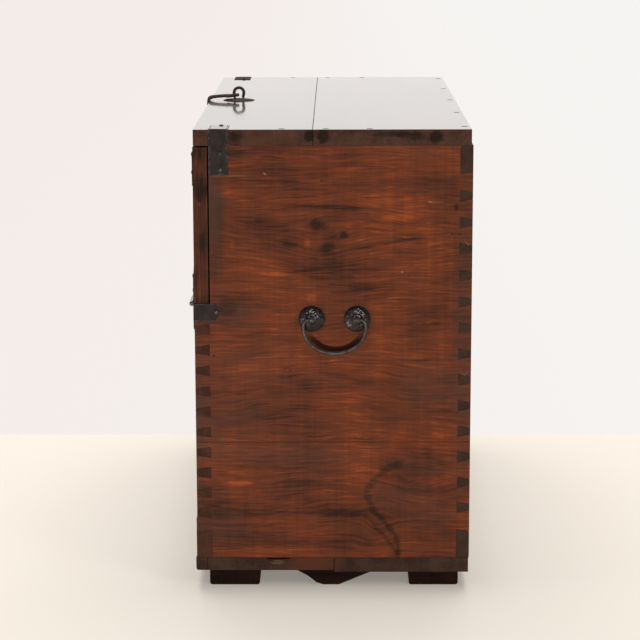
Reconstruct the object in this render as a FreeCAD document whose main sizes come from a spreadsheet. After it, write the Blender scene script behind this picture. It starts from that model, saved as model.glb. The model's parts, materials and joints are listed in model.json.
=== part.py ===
import FreeCAD, Part
import math
import os

import Sketcher

# A drop-front storage chest in dovetailed pine on a pair of sled feet.
# The upper half of the front is a door hinged along its lower edge. Wrought iron
# holds it: corner straps, wrapped hinges, a hasp hung in an eye on the top, a lock
# plate, two door pulls and a swinging bail on each side.
# Lengths are in millimetres. +Z is up, the front faces -Y and the right side, for
# someone facing the front, is +X. The origin is on the floor under the middle of
# the whole box. Pieces are drawn about the middle of the carcass, and each one's
# placement then moves it back by the amount that the front ironwork stands proud.

SIZES = {
    # carcass
    "carcass_width": 950,
    "carcass_depth": 434,
    "carcass_height": 662,
    "side_thickness": 22,
    "front_panel_thickness": 23.5,
    "front_panel_height": 414,
    "back_thickness": 20,
    "joint_clearance": 0.1,
    # top
    "top_thickness": 25,
    "top_front_setback": 1,
    "top_back_setback": 2.5,
    "top_front_board_width": 185,
    "peg_side": 8,
    "peg_length": 55,
    "peg_back_inset": 12,
    "peg_end_inset": 40,
    "side_peg_rear_inset": 160,
    "side_peg_pitch": 68,
    # dovetails
    "pin_inner_height": 18,
    "pin_outer_height": 10,
    "front_lowest_pin": 74.7,
    "front_highest_pin_drop": 41.1,
    "front_bottom_half_pin": 46,
    "front_top_half_pin": 17,
    "back_lowest_pin": 83.3,
    "back_highest_pin_drop": 78.3,
    "back_bottom_half_pin": 47.4,
    "back_top_half_pin": 44.8,
    # base and feet
    "base_front_thickness": 21,
    "base_back_thickness": 24,
    "base_strip_depth": 18,
    "base_strip_proud": 2.5,
    "base_front_board_width": 203,
    "base_back_setback": 1,
    "chip_centre": 88,
    "chip_length": 40,
    "chip_height": 8.4,
    "chip_depth": 3,
    "chip_gap_height": 1.1,
    "foot_height": 29,
    "foot_rail_width": 60,
    "foot_recess": 15,
    "foot_web": 5,
    "front_foot_inset": 18.3,
    "front_foot_length": 80.5,
    "back_foot_inset": 16.3,
    "back_foot_length": 79,
    "foot_corner_radius": 4,
    "drop_front_reach": 58,
    "drop_back_reach": 59,
    "drop_knee_reach": 40,
    "drop_knee_height": 14,
    "drop_toe_reach": 27,
    "drop_toe_height": 3.5,
    "drop_pad_front": 16,
    "drop_pad_back": 9,
    # door
    "door_thickness": 22.5,
    "door_rear_gap": 2,
    "door_bottom_gap": 0.4,
    "swing_clearance": 0.8,
    "batten_width": 46,
    "tongue_thickness": 8,
    "tongue_length": 12,
    # ironwork in sheet
    "leaf_thickness": 1.6,
    "strap_thickness": 1.2,
    "strap_width": 31,
    "strap_side_length": 72.5,
    "strap_top_length": 54,
    "corner_plate_thickness": 1.1,
    "corner_plate_width": 54,
    "corner_plate_height": 53,
    "door_plate_drop": 7,
    "lower_plate_height": 62,
    "lower_plate_rise": 4.2,
    # hinges
    "hinge_width": 60,
    "upper_leaf_height": 61,
    "lower_leaf_height": 54,
    "leaf_point": 14,
    "wrap_height": 27,
    "wrap_length": 43,
    "wrap_point": 8,
    "knuckle_radius": 3.6,
    "hinge_pin_radius": 1.5,
    "pin_clearance": 0.08,
    "running_gap": 0.4,
    # nails
    "nail_shank": 2.4,
    "nail_head_radius": 4,
    "nail_head_height": 1.5,
    "nail_head_bevel": 1.2,
    "nail_depth": 15,
    "nail_clearance": 0.05,
    # side handles
    "handle_height": 390,
    "handle_forward": -2.3,
    "handle_spacing": 71.4,
    "rosette_radius": 20.5,
    "rosette_rise": 3.4,
    "rosette_boss_radius": 8.5,
    "rosette_boss_rise": 4.4,
    "eye_radius": 6.2,
    "eye_thickness": 4.6,
    "eye_bevel": 0.9,
    "eye_shank_radius": 2.6,
    "bail_half_width": 48.8,
    "bail_drop": 53.3,
    "bail_straight": 3,
    "bail_bend_radius": 9,
    "bail_end_radius": 2.3,
    "bail_middle_radius": 3.8,
    "bail_end_overrun": 5,
    # cotter legs
    "shank_clearance": 0.3,
    "leg_thickness": 2.5,
    "leg_width": 5,
    "leg_length": 18,
    # door pulls
    "pull_height": 132,
    "pull_offset": 180,
    "pull_spacing": 56,
    "pull_rosette_radius": 15,
    "pull_rosette_rise": 2.6,
    "pull_half_width": 38,
    "pull_drop": 40,
    # lock plate and staple
    "lock_plate_width": 96,
    "lock_plate_height": 104,
    "lock_plate_shoulder": 74,
    "lock_plate_drop": 1.5,
    "staple_drop": 10,
    "staple_ring_radius": 6.5,
    "staple_wire_radius": 2,
    # hasp
    "hasp_eye_inset": 51,
    "hasp_plate_length": 55,
    "hasp_plate_width": 40,
    "hasp_plate_thickness": 2,
    "hasp_ring_radius": 8.6,
    "hasp_wire_radius": 2.3,
    "hasp_pivot_drop": 3.3,
    "hasp_pivot_forward": 1.2,
    "hasp_bar_thickness": 4.4,
    "hasp_bar_width": 15,
    "hasp_slot_width": 7,
    "hasp_slot_reach": 17.5,
    "hasp_neck_width": 10,
    "hasp_knee_rise": 4.2,
    "hasp_front_gap": 0.6,
    "hasp_knee_radius": 8,
    "hasp_tip_radius": 7,
    "hasp_tip_hole_radius": 3.2,
    "hasp_tip_drop": 16.5,
    "ring_seat_gap": 0.3,
    "eye_seat_gap": 0.2,
}
FRONT_PINS = 10
BACK_PINS = 13
FRONT_PINS_BELOW_JOINT = 4
BACK_PINS_BELOW_JOINT = 7
BACK_PEGS = 5
SIDE_PEGS = 3
BAIL_SIDES = 6
RING_SIDES = 12
EYE_SIDES = 8
ROSETTE_SIDES = 12
NAIL_SIDES = 6
KNUCKLE_SIDES = 12

DOC = FreeCAD.newDocument("DropFrontChest")


class Size:
    """A length as a number, and as the formula that ties it to the sheet."""

    def __init__(self, number, formula):
        self.number = number
        self.formula = formula

    def __add__(self, other):
        other = as_size(other)
        return Size(self.number + other.number, f"({self.formula} + {other.formula})")

    def __sub__(self, other):
        other = as_size(other)
        return Size(self.number - other.number, f"({self.formula} - {other.formula})")

    def __mul__(self, other):
        other = as_size(other)
        return Size(self.number * other.number, f"({self.formula} * {other.formula})")

    def __truediv__(self, other):
        other = as_size(other)
        return Size(self.number / other.number, f"({self.formula} / {other.formula})")

    def __radd__(self, other):
        return as_size(other) + self

    def __rsub__(self, other):
        return as_size(other) - self

    def __rmul__(self, other):
        return as_size(other) * self

    def __neg__(self):
        return 0 - self


def as_size(value):
    return value if isinstance(value, Size) else Size(float(value), repr(float(value)))


class Sheet:
    """The spreadsheet of driving sizes; each one is read back as sheet.its_name."""

    def __init__(self, sizes):
        self.table = DOC.addObject("Spreadsheet::Sheet", "Sizes")
        for row, (name, number) in enumerate(sizes.items(), start=1):
            self.table.set(f"A{row}", name)
            self.table.set(f"B{row}", str(number))
            self.table.setAlias(f"B{row}", name)
        DOC.recompute()

    def __getattr__(self, name):
        return Size(float(self.table.get(name)), f"Sizes.{name}")


size = Sheet(SIZES)


# Heights, widths and depths that several pieces share.
half_width = size.carcass_width / 2
inner_half_width = half_width - size.side_thickness
front_face = -size.carcass_depth / 2
back_face = size.carcass_depth / 2
front_inner = front_face + size.front_panel_thickness
back_inner = back_face - size.back_thickness
base_top = size.foot_height + size.base_front_thickness
carcass_top = base_top + size.carcass_height
top_surface = carcass_top + size.top_thickness
top_front = front_face + size.top_front_setback
panel_top = base_top + size.front_panel_height

hinge_y = front_face - size.running_gap - size.knuckle_radius
hinge_z = panel_top + size.door_bottom_gap / 2
door_bottom = panel_top + size.door_bottom_gap
door_back = front_face + size.door_thickness
rebate_front = door_back + size.door_rear_gap
corner_reach = door_back - hinge_y
corner_rise = corner_reach * corner_reach / (2 * (carcass_top - hinge_z))
door_top = carcass_top - corner_rise - size.swing_clearance

front_pin_low = base_top + size.front_lowest_pin
front_pin_high = panel_top - size.front_highest_pin_drop
front_pin_pitch = (front_pin_high - front_pin_low) / (FRONT_PINS - 1)
back_pin_low = base_top + size.back_lowest_pin
back_pin_high = carcass_top - size.back_highest_pin_drop
back_pin_pitch = (back_pin_high - back_pin_low) / (BACK_PINS - 1)
side_joint = front_pin_low + front_pin_pitch * (FRONT_PINS_BELOW_JOINT - 0.5)
back_joint = back_pin_low + back_pin_pitch * (BACK_PINS_BELOW_JOINT - 0.5)
pin_flare = (size.pin_inner_height - size.pin_outer_height) / 2

base_joint = front_face + size.base_strip_depth - size.base_strip_proud + size.base_front_board_width
base_strip_back = front_face - size.base_strip_proud + size.base_strip_depth
base_back = back_face - size.base_back_setback
base_back_underside = base_top - size.base_back_thickness
top_joint = top_front + size.top_front_board_width
top_back = back_face - size.top_back_setback

# The staple on the lock plate is what stands furthest forward, and the carcass
# goes back by half of that, so that the origin is under the middle of the box.
staple_height = size.ring_seat_gap + size.staple_ring_radius + size.staple_wire_radius
staple_reach = (
    size.leaf_thickness + staple_height + size.staple_ring_radius + size.staple_wire_radius
)
centring = staple_reach / 2


class Circle:
    def __init__(self, across, up, radius):
        self.centre = (as_size(across), as_size(up))
        self.radius = as_size(radius)


class Arc:
    """Stands between two corners of an outline that an arc joins; left turns are positive."""

    def __init__(self, radius, turn=1):
        self.radius = as_size(radius)
        self.turn = turn


def make_body(name):
    body = DOC.addObject("PartDesign::Body", name)
    body.Label = name
    return body


def seat(body, across=0, along=0, up=0, rotation=None):
    """Puts a sub-part at its place, with the carcass's shift towards the back."""
    body.Placement = FreeCAD.Placement(FreeCAD.Vector(), rotation or FreeCAD.Rotation())
    place = {"x": as_size(across), "y": as_size(along) + centring, "z": as_size(up)}
    for axis, value in place.items():
        body.setExpression(f"Placement.Base.{axis}", value.formula)
    return body


def make_sketch(body, plane, level):
    """An empty sketch parallel to one of the body's own planes, at a level along its axis."""
    sketch = body.newObject("Sketcher::SketchObject", f"{body.Label}_outline")
    role = plane + "_Plane"
    planes = [item for item in body.Origin.OriginFeatures if item.Role == role]
    sketch.AttachmentSupport = [(planes[0], "")]
    sketch.MapMode = "FlatFace"
    offset = -as_size(level) if plane == "XZ" else as_size(level)
    sketch.setExpression("AttachmentOffset.Base.z", offset.formula)
    return sketch


def locate(sketch, edge, point, where):
    """Ties one point of a sketch to the origin by two lengths."""
    for kind, value in zip(("DistanceX", "DistanceY"), where):
        rule = Sketcher.Constraint(kind, -1, 1, edge, point, value.number)
        number = sketch.addConstraint(rule)
        sketch.setExpression(f"Constraints[{number}]", value.formula)


def set_radius(sketch, edge, radius):
    number = sketch.addConstraint(Sketcher.Constraint("Radius", edge, radius.number))
    sketch.setExpression(f"Constraints[{number}]", radius.formula)


def draw_circle(sketch, circle):
    centre = FreeCAD.Vector(circle.centre[0].number, circle.centre[1].number, 0)
    up = FreeCAD.Vector(0, 0, 1)
    edge = sketch.addGeometry(Part.Circle(centre, up, circle.radius.number), False)
    locate(sketch, edge, 3, circle.centre)
    set_radius(sketch, edge, circle.radius)


def draw_arc(sketch, start, end, arc):
    """The shorter arc from start to end; returns the edge and which of its ends comes first."""
    chord = end - start
    left = FreeCAD.Vector(-chord.y, chord.x, 0).normalize()
    radius = arc.radius.number
    away = math.sqrt(max(radius**2 - (chord.Length / 2) ** 2, 0))
    centre = (start + end) * 0.5 + left * away * arc.turn
    first, last = (start, end) if arc.turn > 0 else (end, start)
    angles = [math.atan2(p.y - centre.y, p.x - centre.x) for p in (first, last)]
    circle = Part.Circle(centre, FreeCAD.Vector(0, 0, 1), radius)
    edge = sketch.addGeometry(Part.ArcOfCircle(circle, *angles), False)
    return edge, (1, 2) if arc.turn > 0 else (2, 1)


def draw_outline(sketch, outline):
    """A closed outline of straight edges, and of arcs where the list holds an Arc."""
    corners = []
    arcs = []
    for item in outline:
        if isinstance(item, Arc):
            arcs[-1] = item
        else:
            corners.append((as_size(item[0]), as_size(item[1])))
            arcs.append(None)
    points = [FreeCAD.Vector(x.number, y.number, 0) for x, y in corners]
    edges = []
    for here, arc in enumerate(arcs):
        start, end = points[here], points[(here + 1) % len(points)]
        if arc:
            edges.append(draw_arc(sketch, start, end, arc))
        else:
            edges.append((sketch.addGeometry(Part.LineSegment(start, end), False), (1, 2)))
    for here, (edge, (_, end)) in enumerate(edges):
        following, (start, _) = edges[(here + 1) % len(edges)]
        sketch.addConstraint(Sketcher.Constraint("Coincident", edge, end, following, start))
    for (edge, (start, _)), corner, arc in zip(edges, corners, arcs):
        locate(sketch, edge, start, corner)
        if arc:
            set_radius(sketch, edge, arc.radius)


def draw(sketch, shapes):
    for shape in shapes:
        if isinstance(shape, Circle):
            draw_circle(sketch, shape)
        else:
            draw_outline(sketch, shape)


def pad(body, plane, low, high, *shapes):
    """Adds what the outlines enclose, from one level to the other along the plane's axis."""
    low, high = as_size(low), as_size(high)
    sketch = make_sketch(body, plane, high if plane == "XZ" else low)
    draw(sketch, shapes)
    feature = body.newObject("PartDesign::Pad", f"{body.Label}_pad")
    feature.Profile = sketch
    feature.setExpression("Length", (high - low).formula)
    sketch.Visibility = False
    return feature


def pocket(body, plane, low, high, *shapes):
    """Takes away what the outlines enclose between two levels along the plane's axis."""
    low, high = as_size(low), as_size(high)
    sketch = make_sketch(body, plane, low if plane == "XZ" else high)
    draw(sketch, shapes)
    feature = body.newObject("PartDesign::Pocket", f"{body.Label}_pocket")
    feature.Profile = sketch
    feature.setExpression("Length", (high - low).formula)
    sketch.Visibility = False
    return feature


def repeat(body, feature, span, count, downward=False):
    """Repeats a feature evenly over a span along its sketch's upright axis."""
    pattern = body.newObject("PartDesign::LinearPattern", f"{body.Label}_row")
    pattern.Originals = [feature]
    pattern.Direction = (feature.Profile[0], ["V_Axis"])
    pattern.Reversed = downward
    pattern.setExpression("Length", as_size(span).formula)
    pattern.Occurrences = count
    body.Tip = pattern
    return pattern


def soften(body, kind, amount, chosen):
    """Rounds (Fillet) or bevels (Chamfer) the edges of the body that are chosen."""
    DOC.recompute()
    base = body.Tip
    names = [
        f"Edge{number}"
        for number, edge in enumerate(base.Shape.Edges, start=1)
        if chosen(edge)
    ]
    feature = body.newObject(f"PartDesign::{kind}", f"{body.Label}_{kind.lower()}")
    feature.Base = (base, names)
    key = "Radius" if kind == "Fillet" else "Size"
    feature.setExpression(key, as_size(amount).formula)
    return feature


def in_plane(plane, *levels):
    """A test for edges that lie in one of these levels of a plane."""
    axis = {"YZ": "x", "XZ": "y", "XY": "z"}[plane]
    numbers = [as_size(level).number for level in levels]

    def lies(edge):
        places = [getattr(vertex.Point, axis) for vertex in edge.Vertexes]
        return any(all(abs(place - number) < 0.01 for place in places) for number in numbers)

    return lies


def rectangle(left, bottom, right, top):
    return [(left, bottom), (right, bottom), (right, top), (left, top)]


def square(across, up, side):
    half = as_size(side) / 2
    return rectangle(across - half, up - half, across + half, up + half)


def polygon(across, up, radius, sides=8):
    """A regular outline whose sides touch a circle of this radius."""
    reach = as_size(radius) / math.cos(math.pi / sides)
    angles = [math.tau * (step + 0.5) / sides for step in range(sides)]
    return [(across + reach * math.cos(a), up + reach * math.sin(a)) for a in angles]


def handed(side, low, high):
    """The same span of X on the right (1), or mirrored to the left (-1)."""
    return (low, high) if side > 0 else (-as_size(high), -as_size(low))


def turned(side, outline):
    """The same outline, with its first coordinate mirrored on the left."""
    result = []
    for item in outline:
        if isinstance(item, Arc):
            result.append(Arc(item.radius, item.turn * side))
        else:
            result.append((as_size(item[0]) * side, item[1]))
    return result


def side_name(side):
    return "right" if side > 0 else "left"


# Nails. A row of them is one plane, the level of the wood, the thickness of iron
# under the heads, which way they point, and the places of their centres.
class NailRow:
    def __init__(self, plane, wood, iron, outward, centres):
        self.plane = plane
        self.wood = as_size(wood)
        self.iron = as_size(iron)
        self.outward = outward
        self.centres = [(as_size(x), as_size(y)) for x, y in centres]

    def span(self, inner, outer):
        """Two levels, given as distances out of the wood, in rising order."""
        levels = [self.wood + as_size(out) * self.outward for out in (inner, outer)]
        return levels if self.outward > 0 else levels[::-1]

    def squares(self, side):
        return [square(x, y, side) for x, y in self.centres]


def nail_holes(body, row, inner, outer):
    side = size.nail_shank + size.nail_clearance * 2
    pocket(body, row.plane, *row.span(inner, outer), *row.squares(side))


def nail_wood(body, row):
    nail_holes(body, row, -size.nail_depth - size.nail_clearance, 0)


def nail_iron(body, row):
    nail_holes(body, row, 0, row.iron)


def make_nails(label, rows):
    body = make_body(label)
    for row in rows:
        pad(body, row.plane, *row.span(-size.nail_depth, row.iron), *row.squares(size.nail_shank))
        heads = [polygon(x, y, size.nail_head_radius, NAIL_SIDES) for x, y in row.centres]
        levels = row.span(row.iron, row.iron + size.nail_head_height)
        pad(body, row.plane, *levels, *heads)
        crown = levels[1] if row.outward > 0 else levels[0]
        soften(body, "Chamfer", size.nail_head_bevel, in_plane(row.plane, crown))
    return seat(body)


strap_front = rebate_front
strap_middle = strap_front + size.strap_width / 2 + 3


def strap_side_row(side):
    heights = [carcass_top - 12, carcass_top - 37]
    places = [(strap_middle, height) for height in heights]
    return NailRow("YZ", half_width * side, size.strap_thickness, side, places)


def strap_top_row():
    places = [(side * (half_width - size.strap_top_length + 6), strap_middle) for side in (1, -1)]
    return NailRow("XY", top_surface, size.strap_thickness, 1, places)


def hinge_front_places(side, heights):
    insets = [14, 44]
    return [(side * (half_width - inset), height) for inset in insets for height in heights]


def upper_leaf_row(side):
    heights = [door_bottom + 19, door_bottom + 42]
    return NailRow("XZ", front_face, size.leaf_thickness, -1, hinge_front_places(side, heights))


def lower_leaf_front_row(side):
    inset_places = [(side * (half_width - inset), panel_top - 37) for inset in (30, 50)]
    return NailRow("XZ", front_face, size.leaf_thickness, -1, inset_places)


def wrap_row(side):
    places = [(front_face - size.leaf_thickness + size.wrap_length - 7, panel_top - size.wrap_height / 2)]
    return NailRow("YZ", half_width * side, size.leaf_thickness, side, places)


def door_plate_row(side):
    top = door_top - size.door_plate_drop
    heights = [top - 5, top - 33]
    places = [(side * (half_width - inset), height) for inset in (10, 36) for height in heights]
    return NailRow("XZ", front_face, size.corner_plate_thickness, -1, places)


def lower_plate_row(side):
    bottom = base_top + size.lower_plate_rise
    places = [(side * (half_width - 30), bottom + 46), (side * (half_width - 46), bottom + 12)]
    return NailRow("XZ", front_face, size.corner_plate_thickness, -1, places)


def lock_plate_row():
    top = door_top - size.lock_plate_drop
    half = size.lock_plate_width / 2
    places = [(side * (half - 8), top - drop) for side in (1, -1) for drop in (9, 62)]
    places.append((as_size(0), top - size.lock_plate_height + 12))
    return NailRow("XZ", front_face, size.leaf_thickness, -1, places)


# Carcass
def pin_outline(inner, outer, middle, clearance=0):
    """One dovetail pin seen from the side: wide at the inner face, narrow at the outer one."""
    wide = size.pin_inner_height / 2 - clearance
    narrow = size.pin_outer_height / 2 - clearance
    return [
        (inner, middle - wide),
        (outer, middle - narrow),
        (outer, middle + narrow),
        (inner, middle + wide),
    ]


def half_pin_outline(inner, outer, edge, height, clearance=0):
    """A half pin against the edge of a board; a negative height hangs from the edge."""
    turn = 1 if as_size(height).number > 0 else -1
    flare = pin_flare * turn
    shrink = as_size(clearance) * turn
    return [
        (inner, edge),
        (outer, edge),
        (outer, edge + height - flare - shrink),
        (inner, edge + height - shrink),
    ]


def make_side_board(label, side, low, high):
    """A tail board of one side, cut out for the pins of the front and the back."""
    body = make_body(label)
    inner, outer = handed(side, inner_half_width, half_width)
    is_upper = high.number > panel_top.number
    if is_upper:
        outline = [
            (front_face, low),
            (back_face, low),
            (back_face, high),
            (rebate_front, high),
            (rebate_front, panel_top),
            (front_face, panel_top),
        ]
    else:
        outline = rectangle(front_face, low, back_face, high)
    pad(body, "YZ", inner, outer, outline)
    front_start = front_pin_high if is_upper else front_pin_low
    back_start = back_pin_high if is_upper else back_pin_low
    cut = pocket(body, "YZ", inner, outer, pin_outline(front_inner, front_face, front_start))
    repeat(body, cut, front_pin_high - front_pin_low, FRONT_PINS, downward=is_upper)
    cut = pocket(body, "YZ", inner, outer, pin_outline(back_inner, back_face, back_start))
    repeat(body, cut, back_pin_high - back_pin_low, BACK_PINS, downward=is_upper)
    if is_upper:
        halves = [
            half_pin_outline(front_inner, front_face, panel_top, -size.front_top_half_pin),
            half_pin_outline(back_inner, back_face, high, -size.back_top_half_pin),
        ]
    else:
        halves = [
            half_pin_outline(front_inner, front_face, low, size.front_bottom_half_pin),
            half_pin_outline(back_inner, back_face, low, size.back_bottom_half_pin),
        ]
    pocket(body, "YZ", inner, outer, *halves)
    if is_upper:
        shank = size.eye_shank_radius + size.shank_clearance
        eyes = [
            polygon(-size.handle_forward + size.handle_spacing / 2 * end, handle_z, shank)
            for end in (-1, 1)
        ]
        pocket(body, "YZ", inner, outer, *eyes)
        nail_wood(body, strap_side_row(side))
        nail_wood(body, wrap_row(side))
        sides = [square(side * side_peg_x, y, peg_hole) for y in side_peg_places]
        pocket(body, "XY", peg_bottom, high, *sides)
    return seat(body)


def make_front_panel():
    """The fixed lower half of the front, with a row of pins at each end."""
    body = make_body("front_panel")
    panel = rectangle(-inner_half_width, base_top, inner_half_width, panel_top)
    pad(body, "XZ", front_face, front_inner, panel)
    gap = size.joint_clearance
    outline = pin_outline(front_inner, front_face, front_pin_low, gap)
    pin = pad(body, "YZ", -half_width, half_width, outline)
    repeat(body, pin, front_pin_high - front_pin_low, FRONT_PINS)
    bottom = half_pin_outline(front_inner, front_face, base_top, size.front_bottom_half_pin, gap)
    top = half_pin_outline(front_inner, front_face, panel_top, -size.front_top_half_pin, gap)
    pad(body, "YZ", -half_width, half_width, bottom, top)
    for side in (1, -1):
        nail_wood(body, lower_leaf_front_row(side))
        nail_wood(body, lower_plate_row(side))
    return seat(body)


def make_back_board(label, is_upper):
    """Half of the back, with its share of the pins; both halves start as the whole back."""
    body = make_body(label)
    back = rectangle(-inner_half_width, base_top, inner_half_width, carcass_top)
    pad(body, "XZ", back_inner, back_face, back)
    gap = size.joint_clearance
    outline = pin_outline(back_inner, back_face, back_pin_low, gap)
    pin = pad(body, "YZ", -half_width, half_width, outline)
    repeat(body, pin, back_pin_high - back_pin_low, BACK_PINS)
    bottom = half_pin_outline(back_inner, back_face, base_top, size.back_bottom_half_pin, gap)
    top = half_pin_outline(back_inner, back_face, carcass_top, -size.back_top_half_pin, gap)
    pad(body, "YZ", -half_width, half_width, bottom, top)
    low, high = (base_top, back_joint) if is_upper else (back_joint, carcass_top)
    other_half = rectangle(-half_width, low, half_width, high)
    pocket(body, "XZ", back_inner, back_face, other_half)
    if is_upper:
        holes = [square(x, back_peg_y, peg_hole) for x in back_peg_places]
        pocket(body, "XY", peg_bottom, carcass_top, *holes)
    return seat(body)


# Pegs through the top: a row into the back and a row into each side.
peg_hole = size.peg_side + size.nail_clearance * 2
peg_bottom = top_surface - size.peg_length
back_peg_y = back_face - size.peg_back_inset
back_peg_span = size.carcass_width - size.peg_end_inset * 2
back_peg_places = [
    back_peg_span * (step / (BACK_PEGS - 1) - 0.5) for step in range(BACK_PEGS)
]
side_peg_x = half_width - size.side_thickness / 2
side_peg_places = [
    back_face - size.side_peg_rear_inset - size.side_peg_pitch * step
    for step in range(SIDE_PEGS)
]


def peg_squares(side_length):
    pegs = [square(x, back_peg_y, side_length) for x in back_peg_places]
    for side in (1, -1):
        pegs += [square(side * side_peg_x, y, side_length) for y in side_peg_places]
    return pegs


def make_top_pegs():
    body = make_body("top_pegs")
    pad(body, "XY", peg_bottom, top_surface, *peg_squares(size.peg_side))
    return seat(body)


def make_top_board(label, front, back):
    """One of the two boards of the top, with holes for what passes through it."""
    body = make_body(label)
    pad(body, "XY", carcass_top, top_surface, rectangle(-half_width, front, half_width, back))
    holes = [
        outline for outline in peg_squares(peg_hole)
        if outline[0][1].number > front.number and outline[2][1].number < back.number
    ]
    if hasp_eye_y.number < back.number:
        holes.append(polygon(0, hasp_eye_y, size.hasp_wire_radius + size.shank_clearance))
        nail_wood(body, strap_top_row())
    pocket(body, "XY", carcass_top, top_surface, *holes)
    return seat(body)


# Base and feet
def make_base_strip():
    """The moulding along the front of the base, with a rounded lower corner."""
    body = make_body("base_front_strip")
    front = front_face - size.base_strip_proud
    corner = size.foot_corner_radius
    outline = [
        (front, base_top),
        (front, size.foot_height + corner),
        Arc(corner, 1),
        (front + corner, size.foot_height),
        (base_strip_back, size.foot_height),
        (base_strip_back, base_top),
    ]
    pad(body, "YZ", -half_width, half_width, outline)
    return seat(body)


def make_base_board(label, front, back, underside):
    body = make_body(label)
    pad(body, "YZ", -half_width, half_width, rectangle(front, underside, back, base_top))
    if front.number < -size.chip_centre.number < back.number:
        cut_chip(body)
    return seat(body)


def cut_chip(body):
    """A splinter lost from the upper edge at the right end, and the crack behind it."""
    half = size.chip_length / 2
    front, back = -size.chip_centre - half, half - size.chip_centre
    depth = size.chip_height
    bend = (half * half + depth * depth) / (depth * 2)
    chip = [(front, base_top), Arc(bend, 1), (back, base_top)]
    pocket(body, "YZ", half_width - size.chip_depth, half_width, chip)
    crack = rectangle(front + 2, base_top - size.chip_gap_height, back - 2, base_top)
    pocket(body, "YZ", half_width - size.chip_depth * 4, half_width, crack)


def make_foot_rail(label, side):
    """A sled foot: a pad at each end, and a drop in the middle between two low arches."""
    body = make_body(label)
    outer = half_width - size.foot_recess
    low, high = handed(side, outer - size.foot_rail_width, outer)
    bend = size.foot_corner_radius
    web = size.foot_height - size.foot_web
    back_web = base_back_underside - size.foot_web
    front_start = front_face + size.front_foot_inset
    front_end = front_start + size.front_foot_length
    back_end = back_face - size.back_foot_inset
    back_start = back_end - size.back_foot_length
    outline = [
        (front_start, size.foot_height),
        (front_start, bend),
        Arc(bend, 1),
        (front_start + bend, 0),
        (front_end - bend, 0),
        Arc(bend, 1),
        (front_end, bend),
        (front_end, web),
        (-size.drop_front_reach, web),
        (-size.drop_knee_reach, size.drop_knee_height),
        (-size.drop_toe_reach, size.drop_toe_height),
        (-size.drop_pad_front, 0),
        (size.drop_pad_back, 0),
        (size.drop_back_reach, back_web),
        (back_start, back_web),
        (back_start, bend),
        Arc(bend, 1),
        (back_start + bend, 0),
        (back_end - bend, 0),
        Arc(bend, 1),
        (back_end, bend),
        (back_end, base_back_underside),
        (base_joint, base_back_underside),
        (base_joint, size.foot_height),
    ]
    pad(body, "YZ", low, high, outline)
    return seat(body)


# Door
batten_inner = half_width - size.batten_width
tongue_low = (front_face + door_back) / 2 - size.tongue_thickness / 2
tongue_high = tongue_low + size.tongue_thickness


def make_door_panel():
    """The door's board, with a tongue along each end."""
    body = make_body("door_panel")
    board = rectangle(-batten_inner, door_bottom, batten_inner, door_top)
    pad(body, "XZ", front_face, door_back, board)
    reach = batten_inner + size.tongue_length
    pad(body, "XZ", tongue_low, tongue_high, rectangle(-reach, door_bottom, reach, door_top))
    shank = size.staple_wire_radius + size.shank_clearance
    pull_shank = size.eye_shank_radius + size.shank_clearance
    holes = [polygon(0, staple_z, shank)]
    for side in (1, -1):
        for end in (-1, 1):
            across = size.pull_offset * side + size.pull_spacing / 2 * end
            holes.append(polygon(across, pull_z, pull_shank))
    pocket(body, "XZ", front_face, door_back, *holes)
    nail_wood(body, lock_plate_row())
    for side in (1, -1):
        nail_wood(body, upper_leaf_row(side))
        nail_wood(body, door_plate_row(side))
    return seat(body)


def make_door_batten(label, side):
    """The upright at one end of the door, grooved over the tongue."""
    body = make_body(label)
    low, high = handed(side, batten_inner, half_width)
    pad(body, "XZ", front_face, door_back, rectangle(low, door_bottom, high, door_top))
    gap = size.joint_clearance
    groove = handed(side, batten_inner, batten_inner + size.tongue_length + gap)
    outline = rectangle(groove[0], door_bottom, groove[1], door_top)
    pocket(body, "XZ", tongue_low - gap, tongue_high + gap, outline)
    nail_wood(body, upper_leaf_row(side))
    nail_wood(body, door_plate_row(side))
    return seat(body)


# Hinges
barrel_low = half_width - size.hinge_width
knuckle_length = size.hinge_width / 3
leaf_front = front_face - size.leaf_thickness


def middle_third(gap):
    """The span of the door's knuckle, on the right, widened by a gap."""
    return barrel_low + knuckle_length - gap, barrel_low + knuckle_length * 2 + gap


def leaf_outline(side, edge, height):
    """A leaf from the hinge line to a cusped end with hollow shoulders."""
    up = 1 if height.number > 0 else -1
    inner, outer = barrel_low, half_width
    middle = (inner + outer) / 2
    shoulder = edge + height - size.leaf_point * up
    tip = edge + height
    half_tip = size.hinge_width / 12
    hollow = size.leaf_point * 1.6
    return turned(side, [
        (inner, edge),
        (outer, edge),
        (outer, shoulder),
        Arc(hollow, -up),
        (middle + half_tip, tip),
        (middle - half_tip, tip),
        Arc(hollow, -up),
        (inner, shoulder),
    ])


def knuckle(radius):
    """The hammered outline of a knuckle or its bore, round the hinge's axis."""
    return polygon(hinge_y, hinge_z, radius, KNUCKLE_SIDES)


def make_upper_leaf(label, side):
    """The door's leaf, with the middle knuckle."""
    body = make_body(label)
    outline = leaf_outline(side, door_bottom, size.upper_leaf_height)
    pad(body, "XZ", leaf_front, front_face, outline)
    clear = size.knuckle_radius + size.running_gap
    for low, high in (
        (barrel_low - 1, middle_third(0)[0]),
        (middle_third(0)[1], half_width + 1),
    ):
        low, high = handed(side, low, high)
        notch = rectangle(low, door_bottom - 1, high, hinge_z + clear)
        pocket(body, "XZ", leaf_front, front_face, notch)
    barrel = knuckle(size.knuckle_radius)
    pad(body, "YZ", *handed(side, *middle_third(-size.running_gap / 2)), barrel)
    bore = knuckle(size.hinge_pin_radius + size.pin_clearance)
    pocket(body, "YZ", *handed(side, *middle_third(0)), bore)
    nail_iron(body, upper_leaf_row(side))
    return seat(body)


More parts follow.
